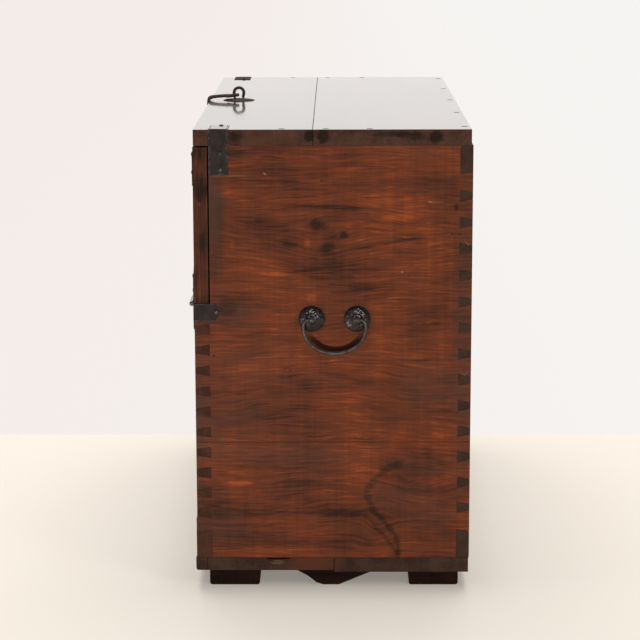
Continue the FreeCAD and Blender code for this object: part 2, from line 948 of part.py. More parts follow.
def make_lower_leaf(label, side):
    """The carcass's leaf: two knuckles, a plate on the front and a tail round the corner."""
    body = make_body(label)
    outline = leaf_outline(side, panel_top, -size.lower_leaf_height)
    pad(body, "XZ", leaf_front, front_face, outline)
    back = leaf_front + size.wrap_length
    low_edge = panel_top - size.wrap_height
    middle = panel_top - size.wrap_height / 2
    tail = [
        (leaf_front, low_edge),
        (back - size.wrap_point, low_edge),
        (back, middle),
        (back - size.wrap_point, panel_top),
        (leaf_front, panel_top),
    ]
    outer = half_width + size.leaf_thickness
    pad(body, "YZ", *handed(side, half_width, outer), tail)
    soften(
        body, "Fillet", size.leaf_thickness / 2,
        lambda edge: is_upright(edge, half_width.number * side, leaf_front.number)
        or is_upright(edge, outer.number * side, leaf_front.number),
    )
    clear = size.knuckle_radius + size.running_gap
    low, high = handed(side, *middle_third(0))
    notch = rectangle(low, hinge_z - clear, high, panel_top + 1)
    pocket(body, "XZ", leaf_front, front_face, notch)
    barrel = knuckle(size.knuckle_radius)
    bore = knuckle(size.hinge_pin_radius + size.pin_clearance)
    for low, high in (
        (barrel_low, middle_third(size.running_gap / 2)[0]),
        (middle_third(size.running_gap / 2)[1], half_width),
    ):
        span = handed(side, low, high)
        pad(body, "YZ", *span, barrel)
        pocket(body, "YZ", *span, bore)
    nail_iron(body, lower_leaf_front_row(side))
    nail_iron(body, wrap_row(side))
    return seat(body)


def is_upright(edge, x, y):
    """Whether a straight edge stands upright at this place."""
    ends = [vertex.Point for vertex in edge.Vertexes]
    return len(ends) == 2 and all(
        abs(end.x - x) < 0.01 and abs(end.y - y) < 0.01 for end in ends
    )


def make_hinge_pin(label, side):
    """The pin through the three knuckles, with a riveted head at each end."""
    body = make_body(label)
    head = 1.2
    low, high = barrel_low - 0.3, half_width + 0.3
    shaft = knuckle(size.hinge_pin_radius - size.pin_clearance / 2)
    pad(body, "YZ", *handed(side, low, high), shaft)
    cap = polygon(hinge_y, hinge_z, size.hinge_pin_radius * 1.4)
    for start in (low - head, high):
        pad(body, "YZ", *handed(side, start, start + head), cap)
    return seat(body)


# Sheet-iron corners
def make_top_strap(label, side):
    """A strap bent over the edge of the top, down onto the side."""
    body = make_body(label)
    outer = half_width + size.strap_thickness
    upper = top_surface + size.strap_thickness
    low = upper - size.strap_side_length
    strip = rectangle(strap_front, low, strap_front + size.strap_width, upper)
    pad(body, "YZ", *handed(side, half_width, outer), strip)
    inner = half_width - size.strap_top_length
    left, right = handed(side, inner, outer)
    over = rectangle(left, strap_front, right, strap_front + size.strap_width)
    pad(body, "XY", top_surface, upper, over)
    soften(
        body, "Fillet", size.strap_thickness,
        lambda edge: all(
            abs(v.Point.x - outer.number * side) < 0.01 and abs(v.Point.z - upper.number) < 0.01
            for v in edge.Vertexes
        ),
    )
    nail_iron(body, strap_side_row(side))
    top_row = strap_top_row()
    top_row.centres = [place for place in top_row.centres if place[0].number * side > 0]
    nail_iron(body, top_row)
    return seat(body)


def corner_plate_outline(side, low, high, cusp_up):
    """A plate for a corner of the front, square outside and hollowed inside."""
    outer = half_width
    inner = half_width - size.corner_plate_width
    waist_x = half_width - size.corner_plate_width * 0.42
    if cusp_up:
        waist_z = low + (high - low) * 0.42
        far, near = high, low
    else:
        waist_z = high - (high - low) * 0.42
        far, near = low, high
    bend = size.corner_plate_width * 0.5
    turn = -1 if cusp_up else 1
    return turned(side, [
        (inner, near),
        (outer, near),
        (outer, far),
        (waist_x, far),
        Arc(bend, turn),
        (waist_x - 6, waist_z),
        (inner, waist_z),
    ])


def make_door_plate(label, side):
    body = make_body(label)
    top = door_top - size.door_plate_drop
    outline = corner_plate_outline(side, top - size.corner_plate_height, top, False)
    front = front_face - size.corner_plate_thickness
    pad(body, "XZ", front, front_face, outline)
    nail_iron(body, door_plate_row(side))
    return seat(body)


def make_lower_plate(label, side):
    body = make_body(label)
    low = base_top + size.lower_plate_rise
    outline = corner_plate_outline(side, low, low + size.lower_plate_height, True)
    front = front_face - size.corner_plate_thickness
    pad(body, "XZ", front, front_face, outline)
    nail_iron(body, lower_plate_row(side))
    return seat(body)


# Lock plate and hasp
staple_z = door_top - size.staple_drop
hasp_eye_y = top_front + size.hasp_eye_inset


def make_lock_plate():
    """The plate at the top of the door, square above and cusped below."""
    body = make_body("lock_plate")
    top = door_top - size.lock_plate_drop
    half = size.lock_plate_width / 2
    shoulder = top - size.lock_plate_shoulder
    tip = top - size.lock_plate_height
    hollow = size.lock_plate_width * 0.55
    outline = [
        (half, top),
        (-half, top),
        (-half, shoulder),
        Arc(hollow, -1),
        (-5, tip),
        (5, tip),
        Arc(hollow, -1),
        (half, shoulder),
    ]
    pad(body, "XZ", leaf_front, front_face, outline)
    hole = polygon(0, staple_z, size.staple_wire_radius + size.shank_clearance)
    pocket(body, "XZ", leaf_front, front_face, hole)
    nail_iron(body, lock_plate_row())
    return seat(body)


def make_hasp_plate():
    """The lozenge under the hasp's eye."""
    body = make_body("hasp_plate")
    half_long = size.hasp_plate_length / 2
    half_wide = size.hasp_plate_width / 2
    middle = hasp_eye_y
    outline = [
        (0, middle - half_long),
        (half_wide, middle),
        (0, middle + half_long),
        (-half_wide, middle),
    ]
    upper = top_surface + size.hasp_plate_thickness
    pad(body, "XY", top_surface, upper, outline)
    hole = polygon(0, middle, size.hasp_wire_radius + size.shank_clearance)
    pocket(body, "XY", top_surface, upper, hole)
    return seat(body)


def make_ring_cotter(label, ring, wire, lift, through):
    """A split pin with a ring of eight-sided wire. It is drawn standing up from the face
    it is in: the ring is lift above the face, and the legs open under through of wood."""
    body = make_body(label)
    centre = as_size(lift) + ring + wire
    pad(body, "YZ", -wire, wire, polygon(0, centre, ring + wire, RING_SIDES))
    pocket(body, "YZ", -wire, wire, polygon(0, centre, ring - wire, RING_SIDES))
    soften(body, "Chamfer", wire * (2 - math.sqrt(2)), in_plane("YZ", -wire, wire))
    pad(body, "XY", -as_size(through), as_size(lift) + wire, polygon(0, 0, wire * 0.9))
    add_legs(body, through)
    return body


def add_legs(body, through):
    """The two legs of a split pin, opened flat against the inside of the wood."""
    half = size.leg_width / 2
    reach = size.leg_length
    tip = reach + size.leg_width
    legs = [(-reach, -half), (reach, -half), (tip, 0), (reach, half), (-reach, half), (-tip, 0)]
    pad(body, "XY", -as_size(through) - size.leg_thickness, -as_size(through), legs)


# Handles and pulls, drawn standing up from the face that they are on: X along the
# swing axis, +Y up the face and +Z out of it.
FACE_TURNS = {
    "right": FreeCAD.Rotation(
        FreeCAD.Vector(0, 1, 0), FreeCAD.Vector(0, 0, 1), FreeCAD.Vector(1, 0, 0), "XYZ"
    ),
    "left": FreeCAD.Rotation(
        FreeCAD.Vector(0, -1, 0), FreeCAD.Vector(0, 0, 1), FreeCAD.Vector(-1, 0, 0), "XYZ"
    ),
    "front": FreeCAD.Rotation(
        FreeCAD.Vector(1, 0, 0), FreeCAD.Vector(0, 0, 1), FreeCAD.Vector(0, -1, 0), "XYZ"
    ),
}
handle_z = base_top + size.handle_height
pull_z = door_bottom + size.pull_height
eye_z = size.rosette_boss_rise + size.eye_seat_gap + size.eye_radius


def make_rosette(label, radius, rise):
    """A domed washer in two steps, with a raised boss round the eye's shank."""
    body = make_body(label)
    boss = size.rosette_boss_radius
    lower = rise * 0.75
    for base, crown, reach, bevel in (
        (0, lower, radius, lower * 0.6),
        (lower, rise, radius * 0.75, rise * 0.2),
        (rise, size.rosette_boss_rise, boss, size.rosette_boss_rise * 0.15),
    ):
        pad(body, "XY", base, crown, polygon(0, 0, reach, ROSETTE_SIDES))
        soften(body, "Chamfer", bevel, in_plane("XY", crown))
    hole = polygon(0, 0, size.eye_shank_radius + size.shank_clearance)
    pocket(body, "XY", 0, size.rosette_boss_rise, hole)
    return body


def make_eye(label, through):
    """A split pin with a flat forged eye, bored for the end of the bail."""
    body = make_body(label)
    half = size.eye_thickness / 2
    bore = size.bail_end_radius + size.running_gap
    pad(body, "YZ", -half, half, polygon(0, eye_z, size.eye_radius, EYE_SIDES))
    soften(body, "Chamfer", size.eye_bevel, in_plane("YZ", -half, half))
    shank = polygon(0, 0, size.eye_shank_radius)
    pad(body, "XY", -as_size(through), eye_z - bore - size.eye_bevel, shank)
    pocket(body, "YZ", -half, half, polygon(0, eye_z, bore, EYE_SIDES))
    add_legs(body, through)
    return body


def bail_path(half, drop, end):
    """Points along half of a bail, from its lowest point to its end: (x, y, heading, run)."""
    bend = size.bail_bend_radius.number
    turn_start = bend + size.bail_straight.number
    depth = drop - turn_start
    side_radius = min(depth * 0.92, half * 0.78)
    across = half - side_radius
    low_radius = (across**2 + depth**2 - side_radius**2) / (2 * (depth - side_radius))
    lean = math.atan2(across, low_radius - depth)
    stretches = [
        (low_radius, lean, 3),
        (side_radius, math.pi / 2 - lean, 4),
        (0, size.bail_straight.number, 1),
        (bend, math.pi / 2, 3),
        (0, half - bend - end, 1),
    ]
    x, y, heading, run = 0.0, -drop, 0.0, 0.0
    points = [(x, y, heading, run)]
    for radius, amount, steps in stretches:
        for _ in range(steps):
            if radius:
                centre = (x - radius * math.sin(heading), y + radius * math.cos(heading))
                heading += amount / steps
                x = centre[0] + radius * math.sin(heading)
                y = centre[1] - radius * math.cos(heading)
                run += radius * amount / steps
            else:
                x += amount * math.cos(heading)
                y += amount * math.sin(heading)
                run += amount
            points.append((x, y, heading, run))
    return points


def bail_ring(x, y, heading, radius):
    """The forged section of a bail: a regular polygon square to its path."""
    across = FreeCAD.Vector(-math.sin(heading), math.cos(heading), 0)
    out = FreeCAD.Vector(0, 0, 1)
    centre = FreeCAD.Vector(x, y, 0)
    corners = []
    for step in range(BAIL_SIDES):
        angle = 2 * math.pi * (step + 0.5) / BAIL_SIDES
        corners.append(centre + across * radius * math.cos(angle) + out * radius * math.sin(angle))
    return corners


def facet(*corners):
    return Part.Face(Part.makePolygon([*corners, corners[0]]))


def make_bail(label, spacing, half, drop):
    """A bail thickest at its middle, whose ends turn in through the eyes."""
    end = spacing.number / 2 - size.bail_end_overrun.number
    points = bail_path(half.number, drop.number, end)
    thick, thin = size.bail_middle_radius.number, size.bail_end_radius.number
    taper_end = points[8][3]
    sections = []
    for side in (-1, 1):
        for x, y, heading, run in points[::side]:
            if side > 0 and run == 0:
                continue
            radius = thick + (thin - thick) * min(1, run / taper_end)
            sections.append(bail_ring(side * x, y, side * heading, radius))
    facets = [facet(*sections[0]), facet(*sections[-1])]
    for here, there in zip(sections, sections[1:]):
        for step in range(BAIL_SIDES):
            following = (step + 1) % BAIL_SIDES
            facets.append(facet(here[step], here[following], there[following]))
            facets.append(facet(here[step], there[following], there[step]))
    bail = DOC.addObject("Part::Feature", label)
    bail.Label = label
    bail.Shape = Part.makeSolid(Part.makeShell(facets))
    return bail


def make_group(label, members):
    """Several alike pieces kept as one sub-part of separate solids."""
    group = DOC.addObject("Part::Compound", label)
    group.Label = label
    group.Links = members
    return group


def make_side_handles():
    """Two rosettes, two eyes and a bail on each side of the carcass."""
    rosettes = []
    eyes = []
    bails = []
    for side in (1, -1):
        turn = FACE_TURNS[side_name(side)]
        for end in (-1, 1):
            along = -size.handle_forward + size.handle_spacing / 2 * end
            place = (half_width * side, along, handle_z, turn)
            number = len(eyes) + 1
            rosette = make_rosette(
                f"handle_rosette_{number}", size.rosette_radius, size.rosette_rise
            )
            rosettes.append(seat(rosette, *place))
            eye = make_eye(f"handle_eye_{number}", size.side_thickness)
            eyes.append(seat(eye, *place))
        bail = make_bail(
            f"handle_bail_{side_name(side)}", size.handle_spacing,
            size.bail_half_width, size.bail_drop,
        )
        across = (half_width + eye_z) * side
        bails.append(seat(bail, across, -size.handle_forward, handle_z, turn))
    groups = [make_group("handle_rosettes", rosettes), make_group("handle_eyes", eyes)]
    return groups + bails


def make_door_pulls():
    """Two rosettes, two eyes and a bail on each half of the door."""
    turn = FACE_TURNS["front"]
    rosettes = []
    eyes = []
    bails = []
    for side in (1, -1):
        for end in (-1, 1):
            across = size.pull_offset * side + size.pull_spacing / 2 * end
            place = (across, front_face, pull_z, turn)
            number = len(eyes) + 1
            rosette = make_rosette(
                f"pull_rosette_{number}", size.pull_rosette_radius, size.pull_rosette_rise
            )
            rosettes.append(seat(rosette, *place))
            eye = make_eye(f"pull_eye_{number}", size.door_thickness)
            eyes.append(seat(eye, *place))
        bail = make_bail(
            f"door_pull_bail_{side_name(side)}", size.pull_spacing,
            size.pull_half_width, size.pull_drop,
        )
        bails.append(seat(bail, size.pull_offset * side, front_face - eye_z, pull_z, turn))
    groups = [make_group("door_pull_rosettes", rosettes), make_group("door_pull_eyes", eyes)]
    return groups + bails


hasp_lift = size.hasp_plate_thickness + size.ring_seat_gap
ring_z = top_surface + hasp_lift + size.hasp_ring_radius + size.hasp_wire_radius
pivot_y = hasp_eye_y - size.hasp_pivot_forward
pivot_z = ring_z - size.hasp_pivot_drop
leg_y = top_front - size.hasp_front_gap - size.hasp_bar_thickness / 2
knee_z = top_surface + size.hasp_knee_rise
tip_z = top_surface - size.hasp_tip_drop


def make_hasp():
    """The hasp: a slotted end hung in the eye, a bar, a knee and a flat pierced tip in front."""
    body = make_body("hasp")
    half = size.hasp_bar_thickness / 2
    width = size.hasp_bar_width / 2
    leg_back = leg_y + half
    leg_front = leg_y - half
    bar = [
        (pivot_y, pivot_z + half),
        (leg_front + size.hasp_knee_radius, knee_z + half),
        Arc(size.hasp_knee_radius, 1),
        (leg_front, knee_z + half - size.hasp_knee_radius),
        (leg_front, tip_z),
        (leg_back, tip_z),
        (leg_back, knee_z - half - 2),
        Arc(2, -1),
        (leg_back + 2, knee_z - half),
        (pivot_y, pivot_z - half),
    ]
    pad(body, "YZ", -width, width, bar)
    neck = size.hasp_neck_width / 2
    slot_front = pivot_y - size.hasp_slot_reach
    shoulder = slot_front - 5
    for side in (1, -1):
        low, high = handed(side, neck, width)
        waste = rectangle(low, leg_front - 1, high, shoulder - 4)
        pocket(body, "XY", tip_z - 1, pivot_z + 4, waste)
    slot_half = size.hasp_slot_width / 2
    slot = rectangle(-slot_half, slot_front, slot_half, pivot_y)
    pocket(body, "XY", knee_z - 6, pivot_z + 6, slot)
    pad(body, "YZ", -width, width, Circle(pivot_y, pivot_z, half))
    pad(body, "XZ", leg_front, leg_back, polygon(0, tip_z, size.hasp_tip_radius, RING_SIDES))
    pocket(body, "XZ", leg_front, leg_back, Circle(0, tip_z, size.hasp_tip_hole_radius))
    return seat(body)


nodes = [
    make_side_board("side_upper_board_right", 1, side_joint, carcass_top),
    make_side_board("side_lower_board_right", 1, base_top, side_joint),
    make_side_board("side_upper_board_left", -1, side_joint, carcass_top),
    make_side_board("side_lower_board_left", -1, base_top, side_joint),
    make_front_panel(),
    make_back_board("back_upper_board", True),
    make_back_board("back_lower_board", False),
    make_top_board("top_front_board", top_front, top_joint),
    make_top_board("top_back_board", top_joint, top_back),
    make_top_pegs(),
    make_base_strip(),
    make_base_board("base_front_board", base_strip_back, base_joint, size.foot_height),
    make_base_board("base_back_board", base_joint, base_back, base_back_underside),
    make_door_panel(),
    make_lock_plate(),
    make_hasp_plate(),
    make_hasp(),
]
for hand in (1, -1):
    name = side_name(hand)
    nodes += [
        make_foot_rail(f"foot_rail_{name}", hand),
        make_door_batten(f"door_batten_{name}", hand),
        make_upper_leaf(f"hinge_upper_leaf_{name}", hand),
        make_lower_leaf(f"hinge_lower_leaf_{name}", hand),
        make_hinge_pin(f"hinge_pin_{name}", hand),
        make_top_strap(f"top_corner_strap_{name}", hand),
        make_door_plate(f"door_corner_plate_{name}", hand),
        make_lower_plate(f"lower_corner_plate_{name}", hand),
    ]
nodes += make_side_handles() + make_door_pulls()

hasp_eye = make_ring_cotter(
    "hasp_eye", size.hasp_ring_radius, size.hasp_wire_radius, hasp_lift, size.top_thickness
)
nodes.append(seat(hasp_eye, 0, hasp_eye_y, top_surface))
staple = make_ring_cotter(
    "lock_staple", size.staple_ring_radius, size.staple_wire_radius,
    size.leaf_thickness + size.ring_seat_gap, size.door_thickness,
)
nodes.append(seat(staple, 0, front_face, staple_z, FACE_TURNS["front"]))

both = (1, -1)
nodes += [
    make_nails("top_strap_nails", [strap_top_row()] + [strap_side_row(side) for side in both]),
    make_nails("hinge_door_nails", [upper_leaf_row(side) for side in both]),
    make_nails(
        "hinge_carcass_nails",
        [lower_leaf_front_row(side) for side in both] + [wrap_row(side) for side in both],
    ),
    make_nails("door_plate_nails", [door_plate_row(side) for side in both]),
    make_nails("lower_plate_nails", [lower_plate_row(side) for side in both]),
    make_nails("lock_plate_nails", [lock_plate_row()]),
]

DOC.recompute()
for thing in DOC.Objects:
    if {"Invalid", "Error"} & set(thing.State):
        raise RuntimeError(f"{thing.Label} did not build: {thing.State}")
os.makedirs("parts", exist_ok=True)
for node in nodes:
    if node.Shape.isNull() or not node.Shape.isValid():
        raise RuntimeError(f"{node.Label} is not a sound solid")
    node.Shape.exportStep(f"parts/{node.Label}.step")
print(len(nodes), "sub-parts,", sum(len(node.Shape.Solids) for node in nodes), "solids")
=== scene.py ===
import json
import math

import bmesh
import bpy
from mathutils import Matrix, Vector, noise


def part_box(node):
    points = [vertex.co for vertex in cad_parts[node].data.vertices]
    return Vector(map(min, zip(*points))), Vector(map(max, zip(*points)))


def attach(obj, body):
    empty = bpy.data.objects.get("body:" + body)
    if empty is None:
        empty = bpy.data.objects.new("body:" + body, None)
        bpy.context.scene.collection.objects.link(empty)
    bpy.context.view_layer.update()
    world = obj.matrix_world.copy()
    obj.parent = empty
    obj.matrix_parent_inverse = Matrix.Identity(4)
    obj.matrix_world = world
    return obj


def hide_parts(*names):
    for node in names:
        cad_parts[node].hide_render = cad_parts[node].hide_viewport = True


# A drop-front storage chest of stained pine with black ironwork, standing on a pale floor.
# Lengths are in metres. The front faces -Y, the right side +X, and the floor is z = 0.

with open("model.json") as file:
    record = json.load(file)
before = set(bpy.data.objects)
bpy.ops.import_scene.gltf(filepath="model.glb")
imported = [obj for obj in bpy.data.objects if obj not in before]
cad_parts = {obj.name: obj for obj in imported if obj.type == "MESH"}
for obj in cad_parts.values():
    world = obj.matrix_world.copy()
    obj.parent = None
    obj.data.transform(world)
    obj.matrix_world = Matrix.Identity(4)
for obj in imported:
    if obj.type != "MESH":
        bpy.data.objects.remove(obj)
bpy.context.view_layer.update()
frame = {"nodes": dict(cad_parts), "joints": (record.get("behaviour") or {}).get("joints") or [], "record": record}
NODES = frame["nodes"]


def srgb(*levels):
    """A colour as it looks on paper, 0 to 255, turned into the shader's own numbers."""
    parts = [level / 255 for level in levels]
    return (*(p / 12.92 if p <= 0.04045 else ((p + 0.055) / 1.055) ** 2.4 for p in parts), 1.0)


# Node wiring
class Wiring:
    """Adds and joins the nodes of one material or node group."""

    def __init__(self, tree):
        self.tree = tree

    def feed(self, inputs, values):
        """Fills inputs by name or number: a socket is joined on, a plain value is set."""
        for key, value in values.items():
            if isinstance(value, bpy.types.NodeSocket):
                self.tree.links.new(value, inputs[key])
            else:
                inputs[key].default_value = value

    def node(self, kind, inputs=None, **settings):
        made = self.tree.nodes.new(kind)
        for name, value in settings.items():
            setattr(made, name, value)
        self.feed(made.inputs, inputs or {})
        return made

    def math(self, operation, *values):
        return self.node("ShaderNodeMath", dict(enumerate(values)), operation=operation).outputs[0]

    def plus(self, first, second):
        return self.math("ADD", first, second)

    def minus(self, first, second):
        return self.math("SUBTRACT", first, second)

    def times(self, first, second):
        return self.math("MULTIPLY", first, second)

    def adding(self, total, value, weight):
        """The total with a weighted value added."""
        return self.math("MULTIPLY_ADD", value, weight, total)

    def squares(self, first, second):
        return self.plus(self.times(first, first), self.times(second, second))

    def vector(self, operation, *values, output=0):
        made = self.node("ShaderNodeVectorMath", dict(enumerate(values)), operation=operation)
        return made.outputs[output]

    def parts(self, vector):
        return self.node("ShaderNodeSeparateXYZ", {"Vector": vector}).outputs

    def point(self, **parts):
        return self.node("ShaderNodeCombineXYZ", parts).outputs[0]

    def noise(self, position, scale, detail=3.0, roughness=0.55):
        inputs = {"Vector": position, "Scale": scale, "Detail": detail, "Roughness": roughness}
        return self.node("ShaderNodeTexNoise", inputs).outputs[0]

    def fibres(self, position, along, across, detail=3.0, roughness=0.55):
        """Noise with its own scale along the grain, which is X."""
        scaled = self.vector("MULTIPLY", position, (along, across, across))
        return self.noise(scaled, 1.0, detail, roughness)

    def span(self, value, low, high, to_low=0.0, to_high=1.0):
        """Carries low..high smoothly to to_low..to_high and stays level outside."""
        values = dict(enumerate((value, low, high, to_low, to_high)))
        return self.node("ShaderNodeMapRange", values, interpolation_type="SMOOTHSTEP").outputs[0]

    def mix(self, factor, first, second):
        inputs = {0: factor, 6: first, 7: second}
        return self.node("ShaderNodeMix", inputs, data_type="RGBA").outputs[2]

    def blend(self, factor, first, second):
        inputs = {0: factor, 2: first, 3: second}
        return self.node("ShaderNodeMix", inputs, data_type="FLOAT").outputs[0]

    def ramp(self, value, places, colours):
        made = self.node("ShaderNodeValToRGB", {"Fac": value})
        elements = made.color_ramp.elements
        while len(elements) < len(places):
            elements.new(0.5)
        for element, place, colour in zip(elements, places, colours):
            element.position = place
            element.color = colour
        return made.outputs[0]

    def relief(self, height, strength, distance):
        inputs = {"Strength": strength, "Distance": distance, "Height": height}
        return self.node("ShaderNodeBump", inputs).outputs[0]

    def effect(self, tree, **inputs):
        """Places a shared node group; an underscore stands for a space in a socket's name."""
        named = {name.replace("_", " "): value for name, value in inputs.items()}
        return self.node("ShaderNodeGroup", named, node_tree=tree).outputs


def shared_effect(name, inputs, outputs, kind="Float"):
    """A new node group that starts from a position. Inputs are {name: start value}, where a
    tuple makes a vector socket; outputs are names."""
    tree = bpy.data.node_groups.new(name, "ShaderNodeTree")
    for label, value in {"Position": (0.0, 0.0, 0.0), **inputs}.items():
        sort = "NodeSocketVector" if isinstance(value, tuple) else "NodeSocketFloat"
        tree.interface.new_socket(label, in_out="INPUT", socket_type=sort).default_value = value
    for label in outputs:
        tree.interface.new_socket(label, in_out="OUTPUT", socket_type="NodeSocket" + kind)
    wires = Wiring(tree)
    return wires, wires.node("NodeGroupInput").outputs, wires.node("NodeGroupOutput").inputs


RING_PLACES = (0.0, 0.45, 0.78, 0.94, 1.0)
RING_LEVELS = (0.0, 0.06, 0.45, 1.0, 0.0)


def make_pine_figure():
    """Growth rings and fibres of a pine board whose grain runs along X and whose face is +Z."""
    wires, entry, leave = shared_effect(
        "pine_figure",
        {"Seed": 0.0, "Ring Spacing": 0.006, "Pith Height": 0.0, "Pith Depth": 0.06,
         "Wander": 0.03},
        ("Rings", "Fibre", "Streak", "Drift", "Patch", "Film", "Cross", "Dashes"),
    )
    shift = wires.vector("SCALE", (7.3, 3.1, 5.7))
    wires.feed(shift.node.inputs, {"Scale": entry["Seed"]})
    place = wires.vector("ADD", entry["Position"], shift)
    slow = wires.minus(wires.fibres(place, 2.0, 5.0, 1.0), 0.5)
    lively = wires.minus(wires.fibres(place, 8.0, 24.0, 2.0), 0.5)
    sway = wires.times(wires.adding(slow, lively, 0.35), entry["Wander"])
    place = wires.vector("ADD", place, wires.point(Y=sway))
    parts = wires.parts(entry["Position"])
    across = wires.minus(wires.plus(parts[1], sway), entry["Pith Height"])
    inward = wires.plus(parts[2], entry["Pith Depth"])
    radius = wires.math("SQRT", wires.squares(across, inward))
    count = wires.math("DIVIDE", radius, entry["Ring Spacing"])
    uneven = wires.node("ShaderNodeTexNoise", {"W": count, "Scale": 0.31, "Detail": 2.0},
                        noise_dimensions="1D").outputs[0]
    phase = wires.math("FRACT", wires.adding(count, uneven, 2.2))
    greys = [(level, level, level, 1.0) for level in RING_LEVELS]
    dashes = wires.fibres(place, 28.0, 460.0, 2.0)
    wires.feed(leave, {
        "Rings": wires.ramp(phase, RING_PLACES, greys),
        "Fibre": wires.fibres(place, 28.0, 490.0, 2.0),
        "Streak": wires.fibres(place, 17.0, 310.0, 4.0, 0.62),
        "Drift": wires.fibres(place, 6.0, 42.0, 4.0),
        "Patch": wires.fibres(place, 7.0, 10.0),
        "Film": wires.fibres(place, 3.0, 9.0, 5.0),
        "Cross": wires.fibres(place, 110.0, 5.0),
        "Dashes": wires.minus(wires.span(dashes, 0.6, 0.74), wires.span(dashes, 0.42, 0.3)),
    })
    return wires.tree


def make_knot_flow():
    """Bends the grain round a knot by a shift across the grain."""
    wires, entry, leave = shared_effect(
        "knot_flow",
        {"Centre": (0.0, 0.0, 0.0), "Length": 0.03, "Height": 0.015, "Tilt": 0.0, "Bulge": 0.02},
        ("Position",), "Vector",
    )
    offset = wires.vector("SUBTRACT", entry["Position"], entry["Centre"])
    turned = wires.node("ShaderNodeVectorRotate", {"Vector": offset, "Angle": entry["Tilt"]},
                        rotation_type="Z_AXIS").outputs[0]
    parts = wires.parts(turned)
    square = wires.squares(wires.math("DIVIDE", parts[0], entry["Length"]),
                           wires.math("DIVIDE", parts[1], entry["Height"]))
    near = wires.math("EXPONENT", wires.times(square, -1.0))
    pull = wires.times(wires.parts(offset)[1], wires.times(near, 0.85))
    shift = wires.minus(wires.times(near, entry["Bulge"]), pull)
    moved = wires.vector("ADD", entry["Position"], wires.point(Y=shift))
    wires.feed(leave, {"Position": moved})
    return wires.tree


def make_rubbed_edge():
    """Where an edge has been rubbed: 1 on the sharpest parts, broken up by noise."""
    wires, entry, leave = shared_effect("rubbed_edge", {"Scale": 120.0}, ("Mask",))
    rounded = wires.node("ShaderNodeBevel", {"Radius": 0.0012}, samples=4).outputs[0]
    flat = wires.node("ShaderNodeNewGeometry").outputs["Normal"]
    edge = wires.span(wires.vector("DOT_PRODUCT", rounded, flat, output=1), 0.985, 0.86)
    patches = wires.span(wires.noise(entry["Position"], entry["Scale"]), 0.4, 0.62)
    wires.feed(leave, {"Mask": wires.times(edge, patches)})
    return wires.tree


def make_hand_forging():
    """Dents and pits of hammered iron, patches of brown scale, and an uneven shine."""
    wires, entry, leave = shared_effect("hand_forging", {"Dent Scale": 90.0, "Seed": 0.0},
                                        ("Height", "Scale", "Shine"))
    place = wires.vector("ADD", entry["Position"], wires.point(X=entry["Seed"]))
    dents = wires.node("ShaderNodeTexVoronoi", {"Vector": place, "Scale": entry["Dent Scale"]},
                       feature="SMOOTH_F1").outputs["Distance"]
    wires.feed(leave, {
        "Height": wires.adding(dents, wires.noise(place, 1400.0, 2.0), 0.12),
        "Scale": wires.span(wires.noise(place, 70.0, 5.0), 0.42, 0.66),
        "Shine": wires.noise(place, 260.0, 4.0),
    })
    return wires.tree


PINE_FIGURE = make_pine_figure()
KNOT_FLOW = make_knot_flow()
RUBBED_EDGE = make_rubbed_edge()
HAND_FORGING = make_hand_forging()


def new_material(name):
    """A material with its shader and the object's own coordinates."""
    material = bpy.data.materials.new(name)
    material.use_nodes = True
    material.node_tree.nodes.clear()
    wires = Wiring(material.node_tree)
    shader = wires.node("ShaderNodeBsdfPrincipled")
    wires.node("ShaderNodeOutputMaterial", {"Surface": shader.outputs[0]})
    return material, wires, shader, wires.node("ShaderNodeTexCoord").outputs


def clear_coat(wires, shader, weight, roughness):
    """Old lacquer or wax, which mirrors the room at a flat angle."""
    wires.feed(shader.inputs, {"Coat Weight": weight, "Coat Roughness": roughness,
                               "Coat IOR": 2.3})


# Each way a board's grain runs: the turn that brings it to X and the face to Z, and its axis.
QUARTER = math.pi / 2
GRAINS = {
    "side": ((QUARTER, 0.0, QUARTER), "Y"),
    "front": ((QUARTER, 0.0, 0.0), "X"),
    "top": ((0.0, 0.0, 0.0), "X"),
    "rail": ((0.0, 0.0, QUARTER), "Y"),
    "upright": ((0.0, QUARTER, 0.0), "Z"),
}
# How much each pattern of the pine darkens (minus) or lightens its tone.
FIGURE_WEIGHTS = {"Streak": -0.85, "Fibre": -0.85, "Drift": -0.55, "Patch": 1.2, "Cross": 0.35}
OPEN_JOINT = srgb(24, 15, 12)
BARE_CHIP = srgb(150, 124, 104)
# The colour of the bail's painted shadow on the side wood.
BAIL_SHADOW_DARK = srgb(32, 7, 3)


class Stain:
    """The colours of one stained board: five tones from its darkest lines to its palest, the
    film of dust and hands on it, and its end grain."""

    def __init__(self, *colours):
        *self.tones, self.film, self.end = [srgb(*colour) for colour in colours]


def laid_on(wires, flat, marks, start=0.0):
    """Adds ragged soft ovals, each (centre, length, height, tilt, amount), to a value."""
    if not marks:
        return start
    uneven = wires.math("MULTIPLY_ADD", wires.fibres(flat, 60.0, 300.0), 0.6, -0.3)
    plane = wires.vector("MULTIPLY", flat, (1.0, 1.0, 0.0))
    total = start
    for centre, length, height, tilt, amount in marks:
        inputs = {"Vector": plane, "Location": (*centre, 0.0), "Rotation": (0.0, 0.0, -tilt),
                  "Scale": (length, height, 1.0)}
        oval = wires.node("ShaderNodeMapping", inputs, vector_type="TEXTURE").outputs[0]
        reach = wires.plus(wires.vector("LENGTH", oval, output=1), uneven)
        total = wires.adding(total, wires.span(reach, 1.0, 0.25), amount)
    return total


